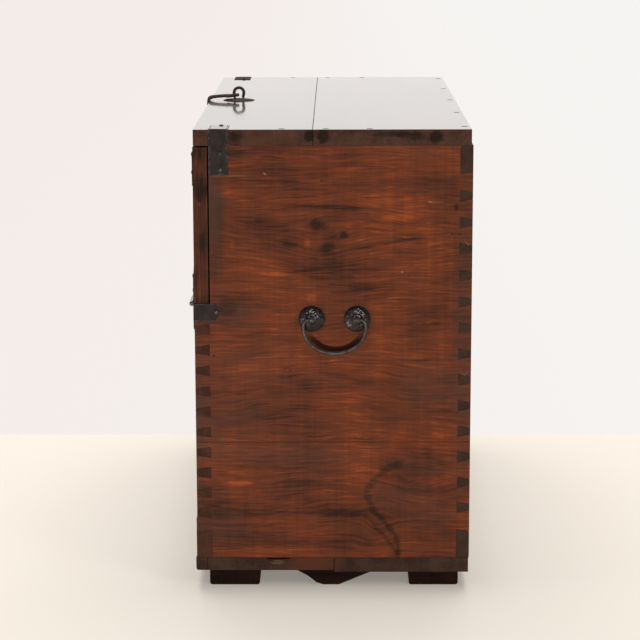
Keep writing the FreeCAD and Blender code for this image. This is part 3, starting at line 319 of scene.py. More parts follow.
def seam_lines(wires, place, seams):
    """The dark open joints between boards, each (axis, position, half width)."""
    shake = wires.minus(wires.noise(place, 35.0, 4.0), 0.5)
    total = 0.0
    for axis, position, width in seams:
        away = wires.minus(wires.parts(place)[axis], position)
        away = wires.math("ABSOLUTE", wires.adding(away, shake, width * 2.4))
        total = wires.math("MAXIMUM", total, wires.span(away, width, width * 0.4))
    return wires.times(total, wires.span(wires.noise(place, 13.0, 2.0), 0.4, 0.6, 0.75, 1.0))


def painted_bail_shadow(wires, flat, centre, half, drop):
    """The painted shadow of a hanging bail: a dark arc on the wood below its eyes, where the bail also rubs."""
    parts = wires.parts(wires.vector("SUBTRACT", flat, (*centre, 0.0)))
    across = wires.math("DIVIDE", parts[1], drop)
    reach = wires.math("SQRT", wires.squares(wires.math("DIVIDE", parts[0], half), across))
    line = wires.times(wires.span(reach, 0.88, 0.95), wires.span(reach, 1.14, 1.05))
    return wires.times(line, wires.span(across, -0.4, -0.75))


def stained_pine(name, grain, stain, seed=0.0, spacing=0.005, pith=(0.0, 0.06), wander=0.02,
                 knots=(), marks=(), films_and_shade=(), flecks=(), seams=(), spots=(), end_darks=(),
                 end_lights=(), cracks=(), bail_shadow=None, beyond=0.0, roughness=0.48, coat=0.0,
                 bump=0.25, lines=0.3, specular=0.06):
    """Old stained pine. Knots bend the grain. Marks, films, flecks, cracks and the bail's painted
    shadow show only on faces that are further out than beyond; some marks and films are painted shade."""
    material, wires, shader, coordinates = new_material(name)
    own = coordinates["Object"]
    turn, axis = GRAINS[grain]
    flat = wires.node("ShaderNodeMapping", {"Vector": own, "Rotation": turn},
                      vector_type="TEXTURE").outputs[0]
    x, y, z = wires.parts(own)
    on_end = wires.point(X=y, Y=z)
    outside = wires.span(wires.math("ABSOLUTE", x), beyond - 0.006, beyond)

    def outer(start, plane, ovals):
        """Adds ovals to a value on the outer faces."""
        return wires.adding(start, laid_on(wires, plane, ovals), outside) if ovals else start

    bent = flat
    for centre, length, height, tilt, bulge in knots:
        bent = wires.effect(KNOT_FLOW, Position=bent, Centre=(*centre, 0.0), Length=length,
                            Height=height, Tilt=tilt, Bulge=bulge)["Position"]
    figure = wires.effect(PINE_FIGURE, Position=bent, Seed=seed, Ring_Spacing=spacing,
                          Pith_Height=pith[0], Pith_Depth=pith[1], Wander=wander)
    fading = wires.span(figure["Drift"], 0.35, 0.65, 0.25, 1.0)
    tone = wires.adding(0.5 + lines * 0.2, wires.times(figure["Rings"], fading), -lines)
    for key, weight in FIGURE_WEIGHTS.items():
        tone = wires.adding(tone, wires.minus(figure[key], 0.5), weight)
    tone = outer(wires.adding(tone, figure["Dashes"], -0.24), flat, marks)
    tone = laid_on(wires, on_end, spots, tone)
    colour = wires.ramp(tone, (0.0, 0.25, 0.5, 0.75, 1.0), stain.tones)
    film = outer(wires.span(figure["Film"], 0.5, 0.8, 0.0, 0.6), flat, films_and_shade)
    colour = wires.mix(wires.math("MINIMUM", film, 0.85), colour, stain.film)

    facing = wires.parts(coordinates["Normal"])[axis]
    ends = wires.span(wires.math("ABSOLUTE", facing), 0.6, 0.85)
    pores = wires.span(wires.noise(own, 420.0), 0.3, 0.7, 0.0, 0.35)
    blotches = wires.span(wires.noise(own, 32.0, 5.0), 0.36, 0.66, 0.0, 0.5)
    end_tone = laid_on(wires, on_end, end_darks, wires.plus(pores, blotches))
    end_colour = wires.mix(end_tone, stain.end, stain.tones[0])
    if end_lights:
        end_colour = wires.mix(laid_on(wires, on_end, end_lights), end_colour, stain.tones[3])
    colour = wires.mix(wires.times(ends, 0.92), colour, end_colour)
    # The bail's shadow, painted as a dark arc on the outer faces.
    if bail_shadow:
        arc = wires.times(painted_bail_shadow(wires, flat, *bail_shadow), outside)
        colour = wires.mix(wires.times(arc, 0.93), colour, BAIL_SHADOW_DARK)
    if flecks:
        colour = wires.mix(outer(0.0, on_end, flecks), colour, BARE_CHIP)
    open_joint = outer(seam_lines(wires, own, seams), on_end, cracks)
    colour = wires.mix(wires.times(open_joint, 0.9), colour, OPEN_JOINT)
    rim = wires.effect(RUBBED_EDGE, Position=own, Scale=60.0)["Mask"]
    colour = wires.mix(wires.times(rim, 0.6), colour, stain.tones[0])

    gloss = wires.blend(ends, roughness, min(roughness + 0.16, 0.8))
    gloss = wires.adding(gloss, figure["Fibre"], 0.12)
    height = wires.adding(wires.times(figure["Rings"], -0.35), figure["Streak"], -0.8)
    height = wires.adding(height, figure["Fibre"], -0.3)
    wires.feed(shader.inputs, {
        "Base Color": colour, "Roughness": wires.blend(open_joint, gloss, 0.9),
        "Specular IOR Level": specular, "Normal": wires.relief(height, bump, 0.0006),
    })
    if coat:
        covered = wires.math("MAXIMUM", ends, wires.times(open_joint, 0.85))
        clear_coat(wires, shader, wires.blend(covered, coat, 0.0), 0.07)
    return material


def black_iron(name, dark, brown, bright, dents, seed, roughness, bump, metal, wax):
    """Old ironwork: blackened, brown in patches and polished bright where hands rub it."""
    material, wires, shader, coordinates = new_material(name)
    own = coordinates["Object"]
    forging = wires.effect(HAND_FORGING, Position=own, Dent_Scale=dents, Seed=seed)
    colour = wires.mix(wires.times(forging["Scale"], 0.8), srgb(*dark), srgb(*brown))
    wear = wires.times(wires.effect(RUBBED_EDGE, Position=own, Scale=160.0)["Mask"], 0.6)
    dull = wires.plus(wires.times(forging["Scale"], 0.2), wires.times(forging["Shine"], 0.25))
    wires.feed(shader.inputs, {
        "Base Color": wires.mix(wear, colour, srgb(*bright)),
        "Metallic": metal, "Roughness": wires.plus(dull, roughness),
        "Normal": wires.relief(forging["Height"], bump, 0.0005),
        "Specular IOR Level": 0.2, "Specular Tint": (0.4, 0.38, 0.36, 1.0),
    })
    if wax:
        upward = wires.parts(coordinates["Normal"])["Z"]
        clear_coat(wires, shader, wires.span(upward, 0.6, 0.9, 0.0, wax), 0.1)
    return material


# The drawings of the marks, in millimetres along and up the face that they are on.
def ovals(*rows):
    """Ovals (along, up, length, height, amount), with a tilt at the end if there is one."""
    return [((along / 1000, up / 1000), length / 1000, height / 1000, sum(tilt), amount)
            for along, up, length, height, amount, *tilt in rows]


def dark_run(width, amount, *points):
    """Ovals laid end to end along a line of the drawing."""
    rows = []
    for (along, up), (next_along, next_up) in zip(points, points[1:]):
        length = math.hypot(next_along - along, next_up - up) * 0.8
        tilt = -math.atan2(next_up - up, next_along - along)
        rows.append(((along + next_along) / 2, (up + next_up) / 2, length, width, amount, tilt))
    return rows


# Knots of the right side; the amount is how far they bulge the grain, in metres.
RIGHT_KNOTS = ovals(
    (-15.2, 588.4, 22, 12, 0.003), (27.5, 571.9, 16, 9, 0.003), (-1.3, 551.4, 24, 14, -0.004),
    (0, 572, 70, 35, 0.006), (-62.4, 357.8, 12, 6, 0.004), (112, 203, 20, 11, 0.012),
    (125, 178, 60, 20, 0.006, 0.3), (85, 115, 25, 40, 0.006, 0.5),
)
# Dark (minus) and bright (plus) patches of the right side; the dark ovals round the two rosettes are painted
# shade.
RIGHT_MARKS_AND_SHADE = ovals(
    (22.1, 615.5, 74, 7, -0.42, 0.04), (-30, 618.5, 20, 6, -0.2),
    (-15.2, 588.4, 19, 12.5, -0.38, 0.25), (27.5, 571.9, 9.5, 6.5, -0.5),
    (-1.3, 551.4, 18, 13, -0.38, -0.5), (10, 570, 22, 18, -0.12), (-60, 557, 20, 6, -0.25),
    # The two dark ovals at up 440 are painted shade round the rosettes.
    (-24, 440, 29, 29, -0.42), (47.5, 440, 29, 29, -0.42), (-143, 700, 26, 12, -0.35),
    (-156, 455, 22, 22, -0.35), (130, 200, 80, 40, -0.3), (120, 560, 110, 140, 0.12),
    (-176, 585, 24, 110, -0.32), (0, 95, 300, 60, -0.14), (135, 185, 60, 50, -0.12),
    (-30.8, 560.1, 8, 16, 0.3), (-147.5, 558.7, 6, 12, 0.25), (110, 562.4, 72, 3.5, -0.35, -0.154),
    (64.1, 552.6, 20, 3.5, -0.35, -0.15), (-7.9, 657.5, 3.5, 3, -0.5),
    (-29, 517, 52, 3.2, -0.35, -0.124), (-77, 510.8, 30, 4.5, 0.35), (59.5, 490.5, 35, 10, -0.3),
    (-23.3, 471.5, 12, 12, 0.2), (-62.4, 357.8, 9, 6, -0.4), (-62.4, 357.8, 5, 3.2, 0.5),
    (30, 675, 50, 6, 0.25, -0.05), (120, 600, 50, 10, 0.25, -0.1),
    (19.5, 124.5, 75, 11.5, -0.42, 0.05), (-100, 124, 100, 10, -0.2), (-43.3, 171, 60, 12, -0.16),
    (150, 165, 50, 15, -0.25, 0.1), (-139, 173.5, 35, 4, 0.5), (-43.7, 61, 80, 9, 0.25),
    (-178, 381, 2.8, 2.5, -0.9), (194.5, 574, 2.5, 2, -0.6), (207.5, 574, 2.5, 2, -0.6),
    (201, 616, 4, 7, -0.5), (93.5, 440, 60, 50, 0.15), (160, 373.5, 55, 1.6, -0.4),
    *dark_run(9, -0.34, (125, 206), (103, 201.5), (81, 185), (62, 162), (67, 142), (78, 122)),
    *dark_run(7, -0.34, (78, 122), (94, 107), (108, 88), (114, 66), (112, 46)),
    *dark_run(5.5, -0.26, (70, 106), (88, 90), (102, 71), (112, 56)),
)
# The grey-brown film of hands and dust by the corners, a film that darkens the side low down, and painted shade
# round the two rosettes.
RIGHT_FILMS_AND_SHADE = ovals(
    (-212, 300, 30, 300, 0.45), (-185, 620, 40, 90, 0.5), (-150, 450, 50, 35, 0.3),
    # The films at up 440 are painted shade round the rosettes.
    (-180, 550, 24, 140, 0.3), (214, 380, 24, 360, 0.42), (-24, 440, 34, 34, 0.3),
    (47.5, 440, 34, 34, 0.3), (0, 385, 200, 20, 0.12), (160, 335, 70, 60, 0.35),
    (-130, 365, 80, 50, 0.25), (-170, 105, 60, 30, 0.3), (100, 155, 60, 35, 0.25),
    (160, 130, 60, 50, 0.3),
)
# Pale scratches and chipped spots of the sides.
SIDE_FLECKS = ovals(
    (-96.1, 668.6, 4, 1.4, 0.8, 0.7), (160.6, 624.2, 4.5, 1.4, 0.7, 0.1),
    (168, 624, 18, 1, 0.35, 0.05), (219, 592.5, 9, 0.9, 0.5, -0.65),
    (219, 558, 8.5, 0.9, 0.45, 0.8), (219, 556, 8.5, 0.9, 0.4, -0.8),
    (217, 350, 10, 0.9, 0.4, -0.8), (210, 380, 13, 0.9, 0.4, 1), (217, 348, 12, 0.9, 0.45, 0.75),
    (117.2, 514.2, 3, 1.6, 0.8), (-146, 665.2, 50, 1.2, 0.35),
)
# The ends of the top, the door and the base.
TOP_END_DARKS = ovals(
    (-27.5, 726.5, 9.5, 14, 1.2), (-5.5, 726.5, 11.5, 15, 1.2), (170, 726.5, 16, 12, 0.9),
    (100, 730, 50, 6, 0.4), (-142, 726, 18, 11, 0.5), (130, 727, 30, 10, 0.45),
)
TOP_END_LIGHTS = ovals(
    (-105, 722, 45, 12, 0.5), (-60, 720, 20, 10, 0.45), (30, 720, 20, 8, 0.3),
    (-200, 725, 12, 12, 0.45),
)
DOOR_END_SPOTS = ovals(
    (-196, 570, 30, 300, -0.12), (-196, 646, 16, 26, -0.42), (-196, 702, 14, 14, -0.2),
    (-196, 676, 8, 10, 0.2), (-198, 621, 4, 5, 0.45), (-195, 560, 14, 18, -0.25),
    (-203, 500, 4, 50, -0.2), (-194, 495, 8, 16, 0.15), (-197, 466, 16, 12, -0.3),
)
BASE_CRACKS = ovals((-80, 48, 22, 2.4, 2.4))
BASE_END_LIGHTS = ovals((-24, 40, 62, 30, 1.05))
BASE_FLECKS = ovals((-64.9, 50, 1.8, 1.6, 1.5), (-79, 42, 15, 3.8, 0.3))
SIDE_STAIN = Stain((50, 31, 22), (77, 42, 28), (96, 50, 31), (115, 57, 31), (146, 72, 34),
                   (74, 53, 45), (66, 52, 44))
FRONT_STAIN = Stain((40, 26, 20), (62, 36, 25), (80, 43, 29), (94, 50, 32), (118, 64, 38),
                    (62, 46, 40), (80, 50, 37))
TOP_STAIN = Stain((36, 26, 22), (52, 34, 27), (66, 42, 33), (84, 52, 38), (100, 62, 44),
                  (58, 46, 40), (88, 60, 48))
BACK_STAIN = Stain((44, 30, 24), (70, 44, 33), (88, 55, 40), (104, 66, 46), (126, 82, 58),
                   (80, 62, 52), (66, 52, 44))
BASE_STAIN = Stain((34, 22, 18), (54, 34, 26), (70, 42, 31), (86, 49, 34), (104, 60, 40),
                   (60, 47, 40), (72, 54, 44))
# The feet are dark wood; their stain is darker still, painted shade from under the chest.
SHADED_FOOT_STAIN = Stain((13, 6, 4), (20, 9, 6), (27, 12, 8), (36, 17, 11), (48, 24, 15),
                   (28, 16, 12), (24, 12, 8))
PEG_STAIN = Stain((22, 16, 13), (30, 22, 18), (38, 28, 23), (46, 34, 28), (56, 42, 34),
                  (38, 30, 26), (34, 26, 22))

# Where boards meet: heights on the sides, front and back, and depths on the top and base.
SIDE_JOINT = 0.2409
BACK_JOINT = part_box("back_lower_board")[1][2]
DOOR_GAP = (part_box("front_panel")[1][2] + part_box("door_panel")[0][2]) / 2
TOP_JOINT = -0.02155
BASE_JOINT = 0.01095
STRIP_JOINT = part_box("base_front_strip")[1][1]
DOOR_SEAM = ((2, DOOR_GAP, 0.0012),)
TOP_SEAM = ((1, TOP_JOINT, 0.0010),)


def side_pine(name, low, high, bail_shadow=None):
    """The pine of one board of the sides, with the marks that reach between two heights."""
    def reaching(marks):
        kept = []
        for mark in marks:
            (_, up), length, height, tilt, _ = mark
            reach = max(length * abs(math.sin(tilt)), height) * 1.2
            if low < up + reach and up - reach < high:
                kept.append(mark)
        return kept

    return stained_pine(
        name, "side", SIDE_STAIN, seed=1.0, spacing=0.0062, pith=(-0.5, 0.05), wander=0.05,
        lines=0.2, knots=reaching(RIGHT_KNOTS), marks=reaching(RIGHT_MARKS_AND_SHADE),
        films_and_shade=reaching(RIGHT_FILMS_AND_SHADE), flecks=reaching(SIDE_FLECKS),
        seams=((2, SIDE_JOINT, 0.0006),), bail_shadow=bail_shadow, beyond=0.468,
    )


# Iron by name: its dark, brown and bright colours, then how finely it is dented, its seed,
# roughness, bump, metal share and wax.
IRONS = {
    "sheet_iron": ((50, 45, 43), (56, 44, 38), (150, 142, 134), 150, 0, 0.42, 0.6, 0.5, 1.0),
    "bare_iron": ((62, 56, 53), (66, 54, 48), (150, 142, 134), 150, 0, 0.55, 0.6, 0.5, 0.0),
    "forged_iron": ((86, 82, 78), (70, 60, 54), (170, 164, 158), 120, 3, 0.3, 0.5, 0.8, 0.0),
    "nail_iron": ((78, 72, 68), (64, 54, 48), (170, 162, 152), 200, 5, 0.16, 0.3, 0.8, 0.0),
    "worn_iron": ((58, 53, 54), (44, 37, 35), (150, 146, 148), 240, 8, 0.05, 1.3, 0.9, 0.0),
    "dull_iron": ((76, 69, 65), (82, 68, 60), (150, 138, 128), 150, 2, 0.55, 0.5, 0.3, 0.0),
}
MATERIALS = {
    # The upper boards carry the painted shadow of the bail under each handle.
    "side_wood": side_pine("side_upper_pine", SIDE_JOINT, 1.0,
                           bail_shadow=((0.0135, 0.440), 0.0475, 0.0488)),
    "side_lower": side_pine("side_lower_pine", 0.0, SIDE_JOINT),
    "front_wood": stained_pine(
        "front_pine", "front", FRONT_STAIN, 2.0, pith=(0.35, 0.08), wander=0.04,
        seams=DOOR_SEAM),
    "door_wood": stained_pine(
        "door_pine", "front", FRONT_STAIN, 9.0, pith=(0.7, 0.07), wander=0.05,
        seams=DOOR_SEAM),
    "batten_wood": stained_pine(
        "batten_pine", "upright", FRONT_STAIN, 10.0, pith=(0.0, 0.09), seams=DOOR_SEAM,
        spots=DOOR_END_SPOTS),
    "top_wood": stained_pine(
        "top_pine", "top", TOP_STAIN, 3.0, 0.007, (0.0, 0.09), roughness=0.3, coat=1.0,
        bump=0.08, specular=0.5, seams=TOP_SEAM),
    "top_end": stained_pine(
        "top_end_grain", "top", TOP_STAIN, 3.0, seams=TOP_SEAM, end_darks=TOP_END_DARKS,
        end_lights=TOP_END_LIGHTS),
    "back_wood": stained_pine(
        "back_pine", "front", BACK_STAIN, 4.0, 0.007, (0.3, 0.08), 0.05, roughness=0.6,
        seams=((2, BACK_JOINT, 0.0008),)),
    "base_wood": stained_pine(
        "base_pine", "front", BASE_STAIN, 5.0, pith=(0.0, 0.07), beyond=0.465,
        seams=((1, BASE_JOINT, 0.0014), (1, STRIP_JOINT, 0.0006)), flecks=BASE_FLECKS,
        cracks=BASE_CRACKS, end_lights=BASE_END_LIGHTS),
    "foot_wood": stained_pine(
        "foot_pine", "rail", SHADED_FOOT_STAIN, 6.0, pith=(0.0, 0.07), roughness=0.5, specular=0.05),
    "peg_wood": stained_pine("peg_pine", "upright", PEG_STAIN, 7.0, roughness=0.35),
    **{name: black_iron(name, *looks) for name, looks in IRONS.items()},
}
# The nodes that look different from the rest of their slot.
FINISH_OF = {
    "hasp": "dull_iron", "hasp_plate": "dull_iron", "hasp_eye": "dull_iron",
    "handle_rosettes": "worn_iron", "door_pull_rosettes": "worn_iron",
    "top_corner_strap_left": "bare_iron", "door_panel": "door_wood",
    "door_batten_right": "batten_wood", "door_batten_left": "batten_wood",
    "side_lower_board_right": "side_lower", "side_lower_board_left": "side_lower",
}
SLOT_OF = {part["node"]: part["material_slot"] for part in frame["record"]["subparts"]}
BODY_OF = {
    node: body for body, members in frame["record"]["behaviour"]["bodies"].items()
    for node in members
}
JOINT_AT = {joint["name"]: Vector(joint["pos_m"]) for joint in frame["joints"]}
for name, node in NODES.items():
    node.data.materials.clear()
    node.data.materials.append(MATERIALS[SLOT_OF[name]])


# Making pieces
WELD = 2e-6
FACES = {
    "right": Matrix(((0, 0, 1), (1, 0, 0), (0, 1, 0))),
    "left": Matrix(((0, 0, -1), (-1, 0, 0), (0, 1, 0))),
    "front": Matrix(((1, 0, 0), (0, 0, -1), (0, 1, 0))),
    "top": Matrix.Identity(3),
}
X_AXIS, Y_AXIS, Z_AXIS = (Vector(row) for row in FACES["top"])
# How close the hammer's dents lie on bars, rosettes and straps, and how deep they are there.
BAR_DENTS, ROSETTE_DENTS, STRAP_DENTS = 230, 150, 90
ROSETTE_DENT_DEPTH, STRAP_DENT_DEPTH = 0.0006, 0.00012


def on_face(face, place):
    """From a drawing (x along the face, y up it, z out of it) to its place on the chest."""
    return Matrix.Translation(place) @ FACES[face].to_4x4()


def cad_shape(node):
    shape = bmesh.new()
    shape.from_mesh(NODES[node].data)
    bmesh.ops.remove_doubles(shape, verts=shape.verts, dist=WELD)
    return shape


def solids_of(node):
    """The lowest and highest corner of each separate solid of a CAD node."""
    shape = cad_shape(node)
    waiting = set(shape.verts)
    boxes = []
    while waiting:
        found = [waiting.pop()]
        for vertex in found:
            for edge in vertex.link_edges:
                other = edge.other_vert(vertex)
                if other in waiting:
                    waiting.remove(other)
                    found.append(other)
        spots = [vertex.co for vertex in found]
        boxes.append([Vector(limit(spot[axis] for spot in spots) for axis in range(3))
                      for limit in (min, max)])
    shape.free()
    return sorted(boxes, key=lambda box: tuple(round(part, 5) for part in box[0]))


def add_object(name, data):
    made = bpy.data.objects.new(name, data)
    bpy.context.scene.collection.objects.link(made)
    return made


def stand_in(name, mesh, node):
    """Puts a mesh in place of a CAD node."""
    piece = add_object(name, mesh)
    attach(piece, BODY_OF[node])
    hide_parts(node)


def add_piece(node, ending, shape, crease=35):
    """Makes a piece of a shape in place of a CAD node; a crease of 0 leaves it faceted."""
    mesh = bpy.data.meshes.new(node + ending)
    bmesh.ops.recalc_face_normals(shape, faces=shape.faces)
    shape.to_mesh(mesh)
    shape.free()
    if crease:
        mesh.shade_smooth()
        mesh.set_sharp_from_angle(angle=math.radians(crease))
    mesh.materials.append(MATERIALS[FINISH_OF.get(node, SLOT_OF[node])])
    if SLOT_OF[node] == "top_wood":
        mesh.materials.append(MATERIALS["top_end"])
        for face in mesh.polygons:
            face.material_index = int(abs(face.normal.z) < 0.6)
    stand_in(node + ending, mesh, node)


def skin(shape, rows, around=True, capped=True):
    """Joins rows of corners with faces, closed around each row and capped at both ends."""
    count = len(rows[0])
    for here, there in zip(rows, rows[1:]):
        for step in range(count if around else count - 1):
            after = (step + 1) % count
            shape.faces.new((here[step], here[after], there[after], there[step]))
    if capped:
        shape.faces.new(rows[0][::-1])
        shape.faces.new(rows[-1])


def add_bar(shape, path, sizes, normal, sides=14, square=2.0, loop=False, dents=0.03):
    """Sweeps an oval section along a flat path; sizes are (in the path's plane, across it)."""
    last = len(path) - 1
    stations = [(here, 1.0, 0.0) for here in range(last + 1)]
    if not loop:
        stations = [(0, 0.45, -0.75), (0, 0.8, -0.45), *stations,
                    (last, 0.8, 0.45), (last, 0.45, 0.75)]
    rings = []
    for here, shrink, slide in stations:
        before = path[here - 1] if here or loop else path[0]
        after = path[(here + 1) % (last + 1)] if here < last or loop else path[-1]
        heading = (after - before).normalized()
        inward = heading.cross(normal).normalized()
        near, far = sizes[here]
        centre = path[here] + heading * near * slide
        ring = []
        for step in range(sides):
            angle = math.tau * step / sides
            x, y = (math.copysign(abs(part) ** (2 / square), part)
                    for part in (math.cos(angle), math.sin(angle)))
            spot = centre + inward * x * near * shrink + normal * y * far * shrink
            uneven = 1 + dents * noise.noise(spot * BAR_DENTS)
            ring.append(shape.verts.new(centre + (spot - centre) * uneven))
        rings.append(ring)
    skin(shape, rings + rings[:1] if loop else rings, capped=not loop)


def add_turned(shape, profile, matrix, steps=40):
    """Turns a profile of (radius, height) round z into a closed shape with hammer dents."""
    outward = matrix.to_3x3() @ Z_AXIS
    rings = []
    for radius, height in profile:
        ring = []
        for step in range(steps):
            angle = math.tau * step / steps
            spot = matrix @ Vector((radius * math.cos(angle), radius * math.sin(angle), height))
            if height > 0.0004:
                spot += outward * noise.noise(spot * ROSETTE_DENTS) * ROSETTE_DENT_DEPTH
            ring.append(shape.verts.new(spot))
        rings.append(ring)
    skin(shape, rings)


def arc_points(centre, radius, start, end, steps):
    """Points (x, y) on an arc, in turns of a full circle."""
    angles = [math.tau * (start + (end - start) * step / steps) for step in range(steps + 1)]
    return [(centre[0] + radius * math.cos(a), centre[1] + radius * math.sin(a)) for a in angles]


def even_path(points, gap):
    """A rounded run through corner points, with a point about every gap."""
    path = [points[0]]
    for here, there in zip(points, points[1:]):
        steps = max(1, round((there - here).length / gap))
        path += [here.lerp(there, (step + 1) / steps) for step in range(steps)]
    for _ in range(3):
        smooth = [(a + b * 2 + c) / 4 for a, b, c in zip(path, path[1:], path[2:])]
        path = [path[0], *smooth, path[-1]]
    return path


def move_all(shape, matrix, first=0):
    shape.verts.ensure_lookup_table()
    for vertex in shape.verts[first:]:
        vertex.co = matrix @ vertex.co


# Worn boards and sheet iron
def wear_down(node, width):
    """A copy of a CAD piece with its sharp edges rubbed round."""
    shape = cad_shape(node)
    bmesh.ops.dissolve_limit(shape, angle_limit=math.radians(1), verts=shape.verts,
                             edges=shape.edges, delimit=set())
    sharp = [edge for edge in shape.edges
             if len(edge.link_faces) == 2 and edge.calc_face_angle(0) > math.radians(28)]
    bmesh.ops.bevel(shape, geom=sharp, offset=width, segments=2, profile=0.5, affect="EDGES",
                    clamp_overlap=True)
    bmesh.ops.triangulate(shape, faces=shape.faces)
    bmesh.ops.remove_doubles(shape, verts=shape.verts, dist=1e-7)
    add_piece(node, "_worn", shape, crease=0)


BOARD_WEAR = 0.0007
IRON_WEAR = 0.0003
MADE_ANEW = ("top_", "hasp_", "handle_", "door_pull_")
for node, slot in SLOT_OF.items():
    if slot.endswith("_wood") and slot != "peg_wood":
        wear_down(node, BOARD_WEAR)
    elif slot == "sheet_iron" and not node.startswith(MADE_ANEW):
        wear_down(node, IRON_WEAR)


# Side handles and door pulls
CARCASS_SIDE = 0.475
TOP_SURFACE = 0.737
EYE_STAND = 0.0108
EYE_RING = 0.0038
EYE_WIRE = (0.0014, 0.0038)
LEG_STEPS = (0.0, 0.008, 0.017, 0.021)
LEG_SIZES = ((0.0012, 0.0025), (0.0012, 0.0025), (0.0011, 0.0022), (0.0007, 0.0008))
LEG_DROP = 0.0013
PINCH = 0.0012
BAIL_RADIUS = 0.0035
DOOR_FRONT = JOINT_AT["pull_right_swing"].y + EYE_STAND
ROSETTE_PROFILE = (
    (1.0, 0.0), (1.0, 0.16), (0.992, 0.3), (0.965, 0.42), (0.92, 0.52), (0.85, 0.63),
    (0.75, 0.74), (0.64, 0.83), (0.53, 0.9), (0.45, 0.94), (0.42, 0.97), (0.4, 1.05),
    (0.36, 1.12), (0.3, 1.15), (0.1, 1.15),
)


def seats(node):
    """Where each rosette or eye of a node stands on the wood."""
    for low, high in solids_of(node):
        place = (low + high) / 2
        if node.startswith("handle"):
            face = "right" if place.x > 0 else "left"
            place.x = math.copysign(CARCASS_SIDE, place.x)
        else:
            face = "front"
            place.y = DOOR_FRONT
        yield on_face(face, place)


def make_rosettes(node, radius, rise):
    """The domed washers that the eyes go through."""
    shape = bmesh.new()
    profile = [(radius * across, rise * up) for across, up in ROSETTE_PROFILE]
    for seat in seats(node):
        add_turned(shape, profile, seat)
    add_piece(node, "_domed", shape)


def add_split_pin(shape, matrix, ring, stand, wire, seat, through, spread=0.45, turn=0.1):
    """A wire bent to a ring that stands off the face, drawn together at its seat and gone
    through the wood, where its two ends are opened flat. The spread is how far apart, as a
    share of the ring, its legs are when they reach the seat."""
    first = len(shape.verts)
    neck = ring * spread
    loop = arc_points((0.0, stand), ring, -0.25 + turn, 0.75 - turn, 26)
    foot = neck if spread > 0.5 else PINCH
    rise = [(PINCH, -through), (PINCH, -0.003), (foot, seat), (neck, (seat + loop[0][1]) / 2)]
    run = rise + loop + [(-y, z) for y, z in rise[::-1]]
    path = [Vector((0, y, z)) for y, z in run]
    thin = [(PINCH * 0.98, wire[1] * 0.62)] * 3
    add_bar(shape, path, thin + [wire] * (len(path) - 6) + thin, X_AXIS, sides=16)
    for way in (-1, 1):
        leg = [Vector((x * way, 0, -through - LEG_DROP)) for x in LEG_STEPS]
        add_bar(shape, leg, LEG_SIZES, Y_AXIS, sides=10, square=3.0)
    move_all(shape, matrix, first)


def make_eyes(node, through):
    """The eyes that the bails hang in."""
    shape = bmesh.new()
    for seat in seats(node):
        add_split_pin(shape, seat, EYE_RING, EYE_STAND, EYE_WIRE, 0.0048, through)
    add_piece(node, "_forged", shape)


def bail_run(half, drop, end, bend=0.009, straight=0.003, steps=10):
    """Half of a bail's line, from its lowest point to its turned-in end."""
    depth = drop - bend - straight
    side = min(depth * 0.92, half * 0.78)
    across = half - side
    low = (across**2 + depth**2 - side**2) / (2 * (depth - side))
    lean = math.atan2(across, low - depth)
    x, y, heading = 0.0, -drop, 0.0
    points = [(x, y)]
    for radius, amount, count in (
        (low, lean, steps), (side, QUARTER - lean, steps), (0, straight, 1),
        (bend, QUARTER, steps), (0, half - bend - end, 4),
    ):
        for _ in range(count):
            if radius:
                centre = (x - radius * math.sin(heading), y + radius * math.cos(heading))
                heading += amount / count
                x = centre[0] + radius * math.sin(heading)
                y = centre[1] - radius * math.cos(heading)
            else:
                x += amount / count * math.cos(heading)
                y += amount / count * math.sin(heading)
            points.append((x, y))
    return points


def make_bail(node, joint, face, half, drop, spacing):
    """A forged bail, thickest at its middle, hanging in its two eyes."""
    run = bail_run(half, drop, spacing / 2 - 0.005)
    path = [Vector((x, y, 0)) for x, y in [(-x, y) for x, y in run[:0:-1]] + run]
    lengths = [0.0]
    for here, there in zip(path, path[1:]):
        lengths.append(lengths[-1] + (there - here).length)
    middle = lengths[-1] / 2
    sizes = []
    for length in lengths:
        share = abs(length - middle) / middle
        thinner = min(1.0, share / 0.6) + max(0.0, share - 0.75) / 0.25
        sizes.append((BAIL_RADIUS - 0.0008 * thinner,) * 2)
    shape = bmesh.new()
    add_bar(shape, path, sizes, Z_AXIS, sides=18, dents=0.06)
    move_all(shape, on_face(face, JOINT_AT[joint]))
    add_piece(node, "_forged", shape)


make_rosettes("handle_rosettes", 0.0205, 0.0048)
make_rosettes("door_pull_rosettes", 0.015, 0.0042)
make_eyes("handle_eyes", 0.022)
make_eyes("door_pull_eyes", 0.0225)
for hand in ("right", "left"):
    make_bail(f"handle_bail_{hand}", f"handle_{hand}_swing", hand, 0.0488, 0.0533, 0.0714)
    make_bail(f"door_pull_bail_{hand}", f"pull_{hand}_swing", "front", 0.038, 0.04, 0.056)


# Hasp
HASP_RING = 0.0086
HASP_WIRE = 0.0026
ARM_SLOPE = 0.11
TIP_HEIGHT = 0.7205
HALF_FORK = ((0.0055, -0.0205), (0.0056, -0.0165), (0.0056, -0.0105), (0.0055, -0.0055),
             (0.0045, -0.0022), (0.0024, -0.0004), (0.0, 0.0))
HASP_LINE = ((-0.1735, 0.7454), (-0.181, 0.7449), (-0.189, 0.7445), (-0.197, 0.7437),
             (-0.2035, 0.7430))


